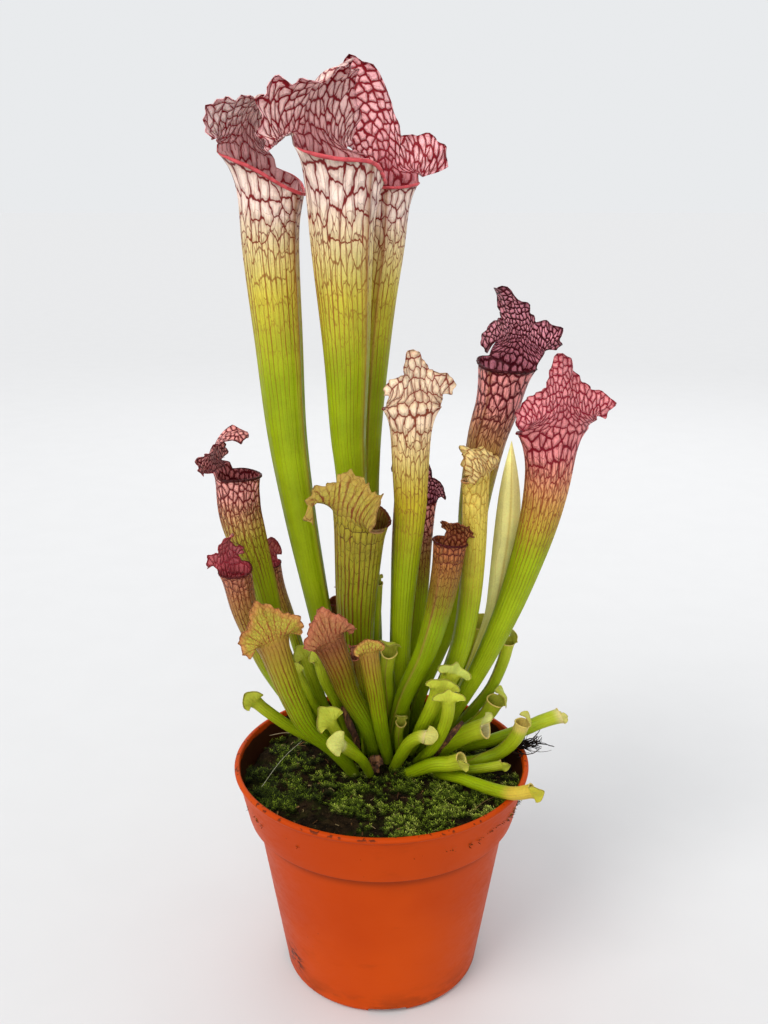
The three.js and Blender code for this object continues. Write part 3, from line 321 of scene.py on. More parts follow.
# Colours along a leaf, as screen values from 0 to 255. A stop's place runs from 0 at the foot to 1
# at the mouth, and on to 2 at the hood's margin.
LIME_FOOT = (108, 128, 8)
LIME = (146, 164, 12)
DARK_LIME = (92, 110, 4)
LIME_VEIN = (108, 124, 8)
SEAM_TINT = (188, 140, 78)
RIB_TINT = (176, 84, 40)


def look(turn, amber, head, vein, hood, hood_vein, lip, margin, net=1.0, ribs=1.0, hood_net=1.0,
         hood_ribs=0.7, gold=0.5, gold_vein=(140, 104, 28), cell=1.0, hood_cell=1.0, lime=LIME,
         fringe=0.1):
    """Colours and marks of a leaf that is lime up to turn[0] and like its head from turn[1] on.

    net, mid and fine are the strengths of its wide, middling and narrow meshes of veins, and rib
    that of the ribs between them. cell and hood_cell scale the wide mesh, and fringe is the
    margin's share of the hood.
    """
    low, high = turn
    middle = (low + high) / 2
    throat = [0.72 * a + 0.28 * b for a, b in zip(hood, hood_vein)]
    return dict(
        flesh=[(0, *LIME_FOOT), (low * 0.45, *lime), (low, *lime), (middle, *amber), (high, *head),
               (1, *head), (1.35, *throat), (1.65, *hood), (2, *hood)],
        vein=[(0, *DARK_LIME), (low * 0.8, *LIME_VEIN), (low + 0.3 * (high - low), *gold_vein),
              (middle, *gold_vein), (high, *vein), (1, *vein), (1.25, *hood_vein), (2, *hood_vein)],
        net=[(0, 0), (high - 0.08, 0), (high - 0.01, 0.8 * net), (1, net), (1.3, hood_net), (2, hood_net)],
        mid=[(0, 0), (low, 0), (middle, 0.35 * net), (high - 0.07, 0.8 * net), (high, 0.12 * net),
             (1, 0.08 * net), (2, 0.1 * hood_net)],
        fine=[(0, 0), (low - 0.08, 0), (low + 0.3 * (high - low), gold), (middle, gold),
              (high - 0.05, 0.15 * gold), (1, 0), (2, 0)],
        rib=[(0, 0.35), (low * 0.8, 0.6), (middle, 1.1 * ribs), (high, 0.6 * ribs), (1, 0.25 * ribs),
             (1.4, hood_ribs), (1.8, 0.6 * hood_ribs), (2, 0)],
        lip=lip, margin=margin, cell=cell, hood_cell=hood_cell, fringe=fringe)


TALL = dict(turn=(0.7, 0.95), amber=(196, 184, 62), head=(250, 224, 208), vein=(116, 28, 28),
            hood_vein=(128, 10, 26), lip=(206, 82, 88), margin=(236, 166, 172), net=1.1, ribs=1.3,
            hood_ribs=1.1, gold=0.32, gold_vein=(146, 104, 34), cell=0.82, hood_cell=0.85)
LOOKS = dict(
    tall=look(hood=(255, 210, 204), hood_net=1.8, **TALL),
    # A paler hood with fewer veins than the other tall leaves, as painted light that makes up for the
    # middle hood's shadow on it
    tall_left=look(hood=(255, 230, 224), hood_net=1.2, **TALL),
    tall_right=look(hood=(246, 182, 184), hood_net=2.4, **TALL),
    pale=look((0.62, 0.97), (188, 170, 40), (248, 218, 184), (124, 56, 36), (252, 228, 206),
              (128, 56, 40), (136, 44, 40), (196, 130, 96), net=1.3, hood_net=1.2, hood_ribs=0.9,
              gold=0.35, gold_vein=(146, 104, 34), cell=0.85),
    dark=look((0.66, 0.92), (170, 138, 58), (246, 160, 156), (92, 10, 22), (236, 156, 172),
              (70, 2, 18), (66, 8, 18), (92, 10, 30), net=2.4, ribs=1.4, hood_net=2.9, gold=0.4,
              gold_vein=(100, 54, 22), cell=0.62, hood_cell=0.52),
    left=look((0.68, 0.95), (162, 156, 42), (240, 164, 152), (104, 26, 26), (240, 156, 156),
              (88, 4, 14), (62, 14, 16), (120, 22, 36), net=2.4, ribs=2.1, hood_net=3.2, gold=0.2,
              gold_vein=(100, 66, 16), cell=0.5, hood_cell=0.5),
    ring=look((0.72, 0.98), (134, 110, 36), (186, 110, 66), (86, 24, 16), (186, 120, 74), (96, 32, 18),
              (74, 14, 16), (112, 50, 30), net=1.7, ribs=1.1, hood_net=2.0, gold=0.3,
              gold_vein=(96, 54, 18), cell=0.55, hood_cell=0.7, lime=(130, 152, 6)),
    low_red=look((0.58, 0.97), (156, 132, 42), (190, 120, 90), (92, 26, 18), (200, 108, 112),
                 (138, 26, 42), (80, 18, 20), (132, 32, 42), net=1.1, ribs=2.0, hood_net=0.9, gold=0.3,
                 gold_vein=(108, 62, 20), cell=0.6, hood_cell=0.8),
    red=look((0.69, 0.95), (188, 148, 66), (232, 142, 142), (120, 12, 30), (236, 154, 160),
             (130, 10, 34), (96, 18, 30), (176, 40, 66), net=2.2, ribs=1.4, hood_net=2.4, gold=0.4,
             gold_vein=(130, 74, 32), cell=0.62, hood_cell=0.62),
    cream=look((0.6, 0.95), (188, 178, 58), (220, 194, 92), (166, 126, 46), (252, 224, 172),
               (148, 94, 42), (186, 130, 70), (206, 156, 88), net=0.8, ribs=0.9, hood_net=1.2, gold=0.3,
               gold_vein=(160, 132, 34), cell=0.8),
    bud=look((0.2, 0.5), (232, 226, 100), (252, 244, 160), (206, 196, 84), (252, 240, 160),
             (206, 196, 84), (252, 244, 160), (252, 244, 160), net=0.0, ribs=0.9, hood_net=0.0, gold=0.0),
    old=look((0.4, 0.95), (122, 130, 10), (156, 142, 42), (76, 46, 8), (174, 152, 68),
             (88, 42, 14), (84, 26, 14), (184, 126, 88), net=0.45, ribs=2.2, hood_net=0.3, hood_ribs=2.5,
             gold=0.1, gold_vein=(74, 60, 2), cell=0.6, hood_cell=0.6, lime=(122, 146, 8), fringe=0.3),
    warm=look((0.5, 0.98), (124, 122, 14), (146, 88, 54), (74, 28, 14), (186, 128, 84),
              (108, 34, 28), (128, 56, 40), (214, 112, 98), net=0.3, ribs=2.3, hood_net=0.3,
              hood_ribs=2.0, gold=0.1, gold_vein=(82, 62, 4), cell=0.7, hood_cell=0.6,
              lime=(118, 142, 8), fringe=0.3),
    blush=look((0.55, 1.0), (138, 146, 12), (164, 126, 52), (100, 46, 20), (178, 178, 62),
               (134, 48, 34), (184, 110, 78), (226, 98, 96), net=0.1, ribs=1.9, hood_net=0.35,
               hood_ribs=1.4, gold=0.0, gold_vein=(104, 80, 10), cell=0.7, hood_cell=0.5,
               lime=(124, 148, 6), fringe=0.22),
    fresh=look((0.6, 1.0), (150, 168, 18), (172, 180, 44), (112, 126, 14), (186, 188, 70),
               (138, 140, 34), (206, 184, 96), (206, 184, 104), net=0.1, ribs=0.7, hood_net=0.05,
               gold=0.05, gold_vein=(116, 128, 12), lime=(136, 158, 8)),
)
LEAF_LOOK = dict(
    tall_left="tall_left", tall_mid="tall", tall_right="tall_right", pale_mid="pale", dark_right="dark",
    red_right="red", cream="cream", pale_closed="bud", dark_left="left", red_low_left="low_red",
    red_behind="low_red", dark_back_a="dark", dark_back_b="dark", red_mid="ring", squat_old="old",
    front_left_big="blush", front_second="warm", green_front="blush", small_hood="blush",
    brown_tip="warm",
)
SLOTS = {kind: slot for slot, kinds in dict(
    leaf_pale=("tall", "tall_left", "tall_right", "pale", "cream", "bud"),
    leaf_red=("dark", "left", "ring", "low_red", "red"),
    leaf_brown=("old", "warm"),
    leaf_green=("fresh", "blush"),
).items() for kind in kinds}

# Leaves whose tips have dried: from which place on, and the colour they turn to.
DRY_TIPS = dict(
    arch_low=(0.93, 206, 186, 130), low_big=(0.97, 214, 206, 150), yellow_arch=(0.9, 200, 178, 92),
    far_right=(0.94, 214, 196, 140), open_ring=(0.98, 206, 198, 96), low_right=(0.8, 196, 170, 60),
    front_hook=(0.94, 206, 200, 132), right_hood=(1.4, 186, 196, 110), small_hood=(1.0, 186, 124, 96),
)

# Moss: its halves as side, number of tufts and seed, and patches with little of it as x, y, size and
# amount.
MOSS_HALVES = dict(moss_front=(-1, 2600, 21), moss_back=(1, 2300, 22))
MOSS_LEAFLETS = 13
MOSS_REACH = 57.3
MOSS_TONES = [(0, 36, 44, 14), (0.4, 74, 90, 22), (0.75, 122, 142, 38), (1, 182, 192, 88)]
BARE_PATCHES = [(-32, -38, 9, 1.7), (-14, -45, 10, 1.7), (-20, -34, 7, 1.1), (-50, 12, 8, 0.7),
                (-38, 28, 9, 0.8), (52, 6, 10, 0.8), (6, -24, 7, 0.8), (0, 12, 17, 0.5)]

# Litter: bits of bark, straws as points, radius and colour, and a tuft of roots on the rim.
LITTER_COUNT = 320
LITTER_REACH = 56.5
BROWNS = [(96, 66, 38), (64, 42, 24), (132, 100, 62), (40, 27, 16), (30, 20, 12), (150, 130, 90)]
STRAWS = [
    ([(-35, 22.9, 88), (-41, 9, 88.9), (-45, -2, 88.2), (-48.5, -13.8, 87.5)], 0.13, (196, 190, 168)),
    ([(-50, 28.5, 87.5), (-42, 27.6, 90), (-31.7, 25.6, 88.5)], 0.2, (140, 124, 96)),
    ([(36, -30, 87), (42, -24, 88.4), (49, -21, 88)], 0.16, (120, 98, 60)),
]
ROOT_COUNT = 54
ROOT_PLACE = (57.5, 8.5, 93.5)
ROOT_SPREAD = (2.4, 1.8, 0.6)
ROOT_WAYS = (0.6, -0.9, -0.1), (1.2, 0.3, 0.35)
ROOT_BROWNS = [(30, 22, 18), (48, 34, 26), (20, 14, 12)]

# Studio, in metres, with the camera's tilt in radians and its lens and sensor in millimetres. A lamp
# is its kind, name, place, aim, power, colour and spread.
FLOOR_SIZE = 60.0
WORLD_COLOUR = (236, 238, 240)
WORLD_STRENGTH = 0.97
LAMPS = [
    ("SUN", "key", (-0.75, -0.75, 1.25), (0, 0, 0.2), 1.55, (1.0, 0.985, 0.95), 32),
    ("SUN", "fill", (0.05, -1.0, 0.3), (0, 0, 0.15), 1.1, (1.0, 0.99, 0.98), 50),
    ("AREA", "rim", (0.2, 1.0, 1.0), (0, 0, 0.25), 2.5, (1.0, 1.0, 1.0), 0.8),
]
CAMERA_PLACE = (0.001, -0.390, 0.315)
CAMERA_DOWN = 0.288
LENS = 36.91
SENSOR = 36.0


# Small helpers

def smooth(t):
    t = np.clip(t, 0, 1)
    return t * t * (3 - 2 * t)


def bell(x, spread):
    return np.exp(-((x / spread) ** 2))


def unit(v):
    return v / np.linalg.norm(v, axis=-1, keepdims=True)


def blend(a, b, share):
    return a * (1 - share) + b * share


def around(angle, first, second):
    """The way at an angle from first towards second, for every angle."""
    return np.cos(angle)[..., None] * first + np.sin(angle)[..., None] * second


def from_front(theta):
    """How far an angle is from 0, either way round."""
    return np.abs((theta + math.pi) % TURN - math.pi)


def along_columns(share, places, table):
    """The columns of a table, read off at shares between its places."""
    return np.stack([np.interp(share, places, column) for column in table.T], -1)


def grid_of(*rows):
    return np.stack(np.broadcast_arrays(*rows), -1)


def to_linear(rgb):
    c = np.asarray(rgb, float) / 255
    return np.where(c <= 0.04045, c / 12.92, ((c + 0.055) / 1.055) ** 2.4)


def linear(rgb):
    return (*[float(c) for c in to_linear(rgb)], 1.0)


def ramp(stops, t):
    """Values of a list of (place, value, ...) stops at the places t."""
    stops = np.array(stops, float)
    return along_columns(t, stops[:, 0], stops[:, 1:])


# Meshes

class Skin:
    """A mesh put together from grids of points, with values per point and per face corner."""

    def __init__(self):
        self.points, self.count = [], 0
        self.values = {}
        self.faces, self.corners = [], []

    def add(self, points, **values):
        shape = points.shape[:-1]
        index = np.arange(self.count, self.count + int(np.prod(shape))).reshape(shape)
        self.points.append(points.reshape(-1, 3))
        self.count += index.size
        for key, value in values.items():
            value = np.asarray(value, float)
            size = value.shape[-1]
            full = np.broadcast_to(value, shape + (size,)).reshape(-1, size)
            self.values.setdefault(key, []).append(full)
        return index

    def sheet(self, index, place=None, flip=False):
        """Joins a grid of point numbers into squares; place holds each corner's place on the leaf."""
        if place is None:
            place = np.zeros(index.shape + (3,))
        low, high = slice(None, -1), slice(1, None)
        picks = [(low, low), (low, high), (high, high), (high, low)]
        if flip:
            picks.reverse()
        corners = np.stack([index[p].ravel() for p in picks], -1)
        places = np.stack([place[p].reshape(-1, 3) for p in picks], 1)
        twice = (np.diff(np.sort(corners, axis=1), axis=1) == 0).any(1)
        self.faces += corners[~twice].tolist()
        self.corners.append(places[~twice].reshape(-1, 3))
        for face, where in zip(corners[twice].tolist(), places[twice]):
            keep = [k for k in range(4) if face[k] not in face[:k]]
            if len(keep) > 2:
                self.faces.append([face[k] for k in keep])
                self.corners.append(where[keep])

    def piece(self, name, material, slot, replaces=()):
        mesh = bpy.data.meshes.new(name)
        mesh.from_pydata((np.concatenate(self.points) * MM).tolist(), [], self.faces)

        def keep(key, data, domain="POINT"):
            kind, field = ("FLOAT_COLOR", "color") if data.shape[1] == 4 else ("FLOAT_VECTOR", "vector")
            layer = mesh.attributes.new(key, kind, domain)
            layer.data.foreach_set(field, data.astype(np.float32).ravel())

        for key, parts in self.values.items():
            keep(key, np.concatenate(parts))
        if self.corners:
            keep("place", np.concatenate(self.corners), "CORNER")
        mesh.shade_smooth()
        mesh.materials.append(material)
        piece = bpy.data.objects.new(name, mesh)
        bpy.context.scene.collection.objects.link(piece)
        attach(piece, "root")
        if replaces:
            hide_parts(*replaces)
        return piece


# Materials. Lengths are in metres. A noise's scale is in cells per metre on the position, and relative
# to the net of veins on a leaf's place.

class Nodes:
    """Short ways to put a node material together."""

    def __init__(self, name):
        self.material = bpy.data.materials.new(name)
        self.material.use_nodes = True
        self.tree = self.material.node_tree
        self.shader = self.tree.nodes["Principled BSDF"]

    def make(self, kind, *values, **settings):
        """A node with its first inputs in order, then other inputs and settings by name."""
        node = self.tree.nodes.new("ShaderNode" + kind)
        for key, value in settings.items():
            if key in node.inputs:
                self.feed(node.inputs[key], value)
            else:
                setattr(node, key, value)
        for socket, value in zip(node.inputs, values):
            self.feed(socket, value)
        return node

    def feed(self, socket, value):
        if isinstance(value, bpy.types.NodeSocket):
            self.tree.links.new(value, socket)
        else:
            socket.default_value = value

    def math(self, operation, *values, clamp=False):
        return self.make("Math", *values, operation=operation, use_clamp=clamp).outputs[0]

    def times(self, a, b, clamp=False):
        return self.math("MULTIPLY", a, b, clamp=clamp)

    def vector(self, operation, *values):
        node = self.make("VectorMath", *values, operation=operation)
        return node.outputs["Value" if operation in ("DISTANCE", "LENGTH") else "Vector"]

    def mix(self, factor, a, b, way="MIX"):
        """Two colours mixed. A plain tuple is a screen colour from 0 to 255."""
        node = self.make("Mix", data_type="RGBA", blend_type=way)
        for k, value in ((0, factor), (6, a), (7, b)):
            self.feed(node.inputs[k], linear(value) if isinstance(value, tuple) else value)
        return node.outputs[2]

    def shaded(self, colour, shade):
        grey = self.make("CombineColor", Red=shade, Green=shade, Blue=shade).outputs[0]
        return self.mix(1.0, colour, grey, "MULTIPLY")

    def attribute(self, name, output):
        return self.make("Attribute", attribute_name=name).outputs[output]

    def noise(self, vector, scale, detail=2.0, roughness=0.5):
        return self.make("TexNoise", Vector=vector, Scale=scale, Detail=detail,
                         Roughness=roughness).outputs["Fac"]

    def step(self, value, low, high, start=0.0, end=1.0):
        return self.make("MapRange", value, low, high, start, end,
                         interpolation_type="SMOOTHSTEP").outputs[0]

    def split(self, vector):
        return self.make("SeparateXYZ", Vector=vector).outputs

    def position(self):
        return self.make("TexCoord").outputs["Object"]

    def bump(self, height, distance, strength, under=None):
        node = self.make("Bump", Height=height, Distance=distance, Strength=strength)
        if under is not None:
            self.feed(node.inputs["Normal"], under)
        return node.outputs["Normal"]

    def finish(self, **inputs):
        names = dict(colour="Base Color", roughness="Roughness", normal="Normal",
                     subsurface="Subsurface Weight", scale="Subsurface Scale",
                     specular="Specular IOR Level")
        for key, value in inputs.items():
            self.feed(self.shader.inputs[names[key]], value)
        return self.material


def leaf_material():
    n = Nodes("leaf_tissue")
    place = n.attribute("place", "Vector")
    net, rib, puff = n.split(n.attribute("marks", "Vector"))
    position = n.position()
    wobble = n.make("TexNoise", Vector=place, Scale=1.3, Detail=1.5).outputs["Color"]
    flat = n.vector("MULTIPLY_ADD", wobble, (0.5, 0.5, 0.0),
                    n.vector("MULTIPLY", place, (1.0, 1.0, 0.0)))
    uneven = n.noise(place, 2.2)

    def mesh(scale, stretch, weight, thickness):
        """Veins along the edges of cells, thicker where they meet, and the distance from them."""
        vector = n.vector("MULTIPLY", flat, (scale, scale / stretch, 0.0))
        edge, core = (n.make("TexVoronoi", voronoi_dimensions="2D", feature=feature, Vector=vector,
                             Scale=1.0, Randomness=0.8).outputs["Distance"]
                      for feature in ("DISTANCE_TO_EDGE", "F1"))
        width = n.times(weight, n.math("MULTIPLY_ADD", uneven, thickness, 0.5 * thickness))
        width = n.times(width, n.step(core, 0.35, 0.8, 0.85, 1.45))
        mask = n.step(edge, n.times(width, 0.5), n.math("MULTIPLY_ADD", width, 1.2, 0.03), 1.0, 0.0)
        return n.times(mask, n.times(weight, 2.5, clamp=True)), edge

    wide_mask, distance = mesh(1.0, 1.2, net, 0.05)
    mid_mask, _ = mesh(1.9, 2.0, n.attribute("flesh", "Alpha"), 0.07)
    fine_mask, _ = mesh(3.2, 3.0, n.attribute("vein", "Alpha"), 0.11)
    tinge = n.times(n.step(distance, 0.0, 0.36, 0.42, 0.0), n.times(net, 0.9, clamp=True))

    # Ribs that run up the leaf
    drift = n.times(n.noise(place, 0.5, 2.0), 0.8)
    turns = n.math("FRACT", n.math("ADD", n.split(place)[2], drift))
    centre = n.math("ABSOLUTE", n.math("SUBTRACT", turns, 0.5))
    strength = n.noise(n.vector("MULTIPLY", place, (2.2, 0.25, 0.0)), 1.0, 1.0)
    width = n.times(rib, 0.1)
    rib_mask = n.step(centre, n.times(width, 0.25), n.math("ADD", width, 0.06), 1.0, 0.0)
    rib_mask = n.times(rib_mask, n.times(rib, 0.75, clamp=True))
    rib_mask = n.times(rib_mask, n.step(strength, 0.35, 0.6, 0.35, 1.0))

    vein = n.attribute("vein", "Color")
    patches = n.step(n.noise(position, 90.0, 3.0), 0.3, 0.75, 0.88, 1.08)
    speckle = n.step(n.noise(position, 1500.0, 2.0), 0.25, 0.75, 0.94, 1.05)
    colour = n.mix(tinge, n.attribute("flesh", "Color"), vein)
    colour = n.mix(n.times(fine_mask, 0.7), colour, vein)
    colour = n.mix(rib_mask, colour, n.mix(0.25, vein, RIB_TINT))
    colour = n.mix(n.math("MAXIMUM", wide_mask, n.times(mid_mask, 0.8)), colour, vein)
    colour = n.shaded(colour, n.times(patches, speckle))

    normal = n.bump(n.noise(position, 2600.0, 2.0), 0.00005, 0.5)
    normal = n.bump(rib_mask, 0.00025, 0.7, normal)
    normal = n.bump(n.times(n.step(distance, 0.02, 0.34), puff), 0.0006, 0.9, normal)
    roughness = n.step(n.noise(position, 400.0), 0.3, 0.7, 0.36, 0.5)
    return n.finish(colour=colour, roughness=roughness, normal=normal, subsurface=0.08, scale=0.001,
                    specular=0.15)


def dry_material():
    n = Nodes("dry_tissue")
    position = n.position()
    grain = n.noise(n.vector("MULTIPLY", position, (1.0, 1.0, 0.18)), 1300.0, 4.0)
    colour = n.mix(n.step(n.noise(position, 160.0, 3.0), 0.35, 0.65), (92, 54, 34), (168, 112, 66))
    colour = n.mix(n.step(grain, 0.35, 0.7), (60, 34, 24), colour)
    return n.finish(colour=colour, roughness=0.75, normal=n.bump(grain, 0.0003, 0.9))


def pot_material():
    n = Nodes("orange_plastic")
    position = n.position()
    height = n.split(position)[2]
    collar, rim = COLLAR_BOTTOM * MM, POT_HEIGHT * MM
    flattened = n.vector("MULTIPLY", position, (1.0, 1.0, 2.6))
    rings = n.noise(flattened, 60.0, 4.0, 0.6)
    colour = n.mix(n.step(n.noise(position, 14.0, 3.0), 0.3, 0.7), (172, 57, 3), (188, 68, 6))

    # Grime in patches and low on the wall, a painted shadow under the collar, grime as specks, and crumbs
    # on the rim
    colour = n.mix(n.times(n.step(rings, 0.6, 0.78), 0.22), colour, (120, 48, 14))
    low = n.times(n.step(height, 0.0, 0.014, 0.5, 0.0), n.step(rings, 0.45, 0.62))
    colour = n.mix(low, colour, (88, 40, 16))
    # Painted shadow: the body is darkened just under the collar's ledge, where the collar shades it
    painted_collar_shadow = n.times(n.step(height, collar - 0.0065, collar - 0.0015),
                     n.step(height, collar + 0.0001, collar + 0.0004, 0.55, 0.0))
    colour = n.mix(painted_collar_shadow, colour, (96, 32, 6))
    dots = n.make("TexVoronoi", Vector=position, Scale=260.0).outputs["Distance"]
    specks = n.times(n.step(dots, 0.05, 0.11, 0.6, 0.0), n.step(n.noise(position, 90.0), 0.6, 0.64))
    crumbs = n.times(n.step(height, rim - 0.0015, rim - 0.0005),
                     n.step(n.noise(position, 520.0, 3.0), 0.6, 0.64))
    colour = n.mix(n.math("MAXIMUM", specks, n.times(crumbs, 0.75)), colour, (40, 24, 14))

    # Soil on the inside of the collar, that is within the middle of its wall
    middle_of_wall = (COLLAR_BOTTOM_RADIUS - COLLAR_SLOPE * COLLAR_BOTTOM - WALL / 2) * MM
    radius = n.vector("LENGTH", n.vector("MULTIPLY", position, (1.0, 1.0, 0.0)))
    past = n.math("SUBTRACT", radius, n.math("MULTIPLY_ADD", height, COLLAR_SLOPE, middle_of_wall))
    level = n.step(n.math("MULTIPLY_ADD", rings, -0.006, height), rim - 0.0055, rim - 0.0045, 0.95, 0.0)
    soiled = n.times(n.step(past, -0.0002, 0.0002, 1.0, 0.0), level)
    soiled = n.times(soiled, n.step(height, collar + 0.0025, collar + 0.003))
    colour = n.mix(soiled, colour, (30, 21, 12))

    # A scuff low on the left of the front
    off = n.vector("DISTANCE", position, SCUFF_PLACE)
    torn = n.step(n.noise(flattened, 260.0, 3.0), 0.5, 0.56)
    scuff = n.times(n.step(off, 0.003, 0.009, 1.0, 0.0), torn)
    colour = n.mix(n.times(scuff, 0.85), colour, (40, 20, 12))

    wear = n.math("MULTIPLY_ADD", rings, 0.6, n.times(n.noise(flattened, 320.0, 1.0), 0.4))
    normal = n.bump(n.noise(position, 2200.0, 2.0), 0.00004, 0.35)
    normal = n.bump(rings, 0.0002, 0.25, normal)
    return n.finish(colour=colour, roughness=n.step(wear, 0.3, 0.7, 0.36, 0.52), normal=normal,
                    specular=0.07)


def peat_material():
    n = Nodes("dark_peat")
    position = n.position()
    coarse = n.noise(position, 240.0, 4.0, 0.65)
    fine = n.noise(position, 1500.0, 3.0, 0.6)
    colour = n.mix(n.step(coarse, 0.35, 0.7), (16, 10, 5), (44, 32, 18))
    colour = n.mix(n.step(fine, 0.63, 0.72), colour, (92, 74, 50))
    green = n.step(n.noise(position, 110.0, 2.0), 0.5, 0.65)
    colour = n.mix(n.times(green, 0.4), colour, (38, 44, 10))
    normal = n.bump(coarse, 0.0012, 0.8, n.bump(fine, 0.0004, 0.9))
    return n.finish(colour=colour, roughness=0.92, normal=normal, specular=0.06)


def tinted_material(name, roughness, grain_scale, depth):
    """A material that takes its colour from the mesh's tint."""
    n = Nodes(name)
    grain = n.noise(n.position(), grain_scale, 3.0, 0.6)
    colour = n.shaded(n.attribute("tint", "Color"), n.step(grain, 0.3, 0.7, 0.78, 1.15))
    return n.finish(colour=colour, roughness=roughness, normal=n.bump(grain, depth, 0.6), specular=0.1)


def floor_material():
    n = Nodes("studio_floor")
    colour = n.mix(n.step(n.noise(n.position(), 30.0), 0.3, 0.7), (213, 213, 214), (214, 214, 215))
    return n.finish(colour=colour, roughness=0.9, specular=0.0)


# Leaves

def centre_line(path):
    """A smooth curve through the points, from below the peat: places and ways by share, and length."""
    p = np.array(path, float)
    way = unit(unit(p[1] - p[0]) + np.array([0, 0, ROOT_STEEPNESS]))
    p = np.vstack([p[0] - way * (ROOT_DEPTH / way[2]), p])
    p = np.vstack([2 * p[0] - p[1], p, 2 * p[-1] - p[-2]])
    line = []
    for a, b, c, d in zip(p, p[1:], p[2:], p[3:]):
        t = np.linspace(0, 1, 24, endpoint=False)[:, None]
        line.append(0.5 * (2 * b + (c - a) * t + (2 * a - 5 * b + 4 * c - d) * t ** 2
                           + (3 * b - 3 * c + d - a) * t ** 3))
    line = np.vstack(line + [p[-2:-1]])
    far = np.r_[0, np.cumsum(np.linalg.norm(np.diff(line, axis=0), axis=1))]
    ways = np.gradient(line, far, axis=0)

    def at(share):
        return along_columns(share * far[-1], far, line), unit(along_columns(share * far[-1], far, ways))

    return at, far[-1]


def tube_frame(at, share, az):
    """Places on a centre line, and the ways along it, to its front and to its left."""
    place, along = at(share)
    face = np.array([math.cos(math.radians(az)), math.sin(math.radians(az)), 0.0])
    front = unit(face - (along @ face)[:, None] * along)
    return place, along, front, np.cross(along, front)


def margin_of(grid):
    """The free edge of a hood's grid: up one side, over the top, and down the other."""
    return np.concatenate([grid[:-1, 0], grid[-1], grid[-2::-1, -1]])


def rim_of(grid):
    """All of a grid's edge, once round."""
    return np.concatenate([grid[0], grid[1:, -1], grid[-1, -2::-1], grid[-2::-1, 0]])


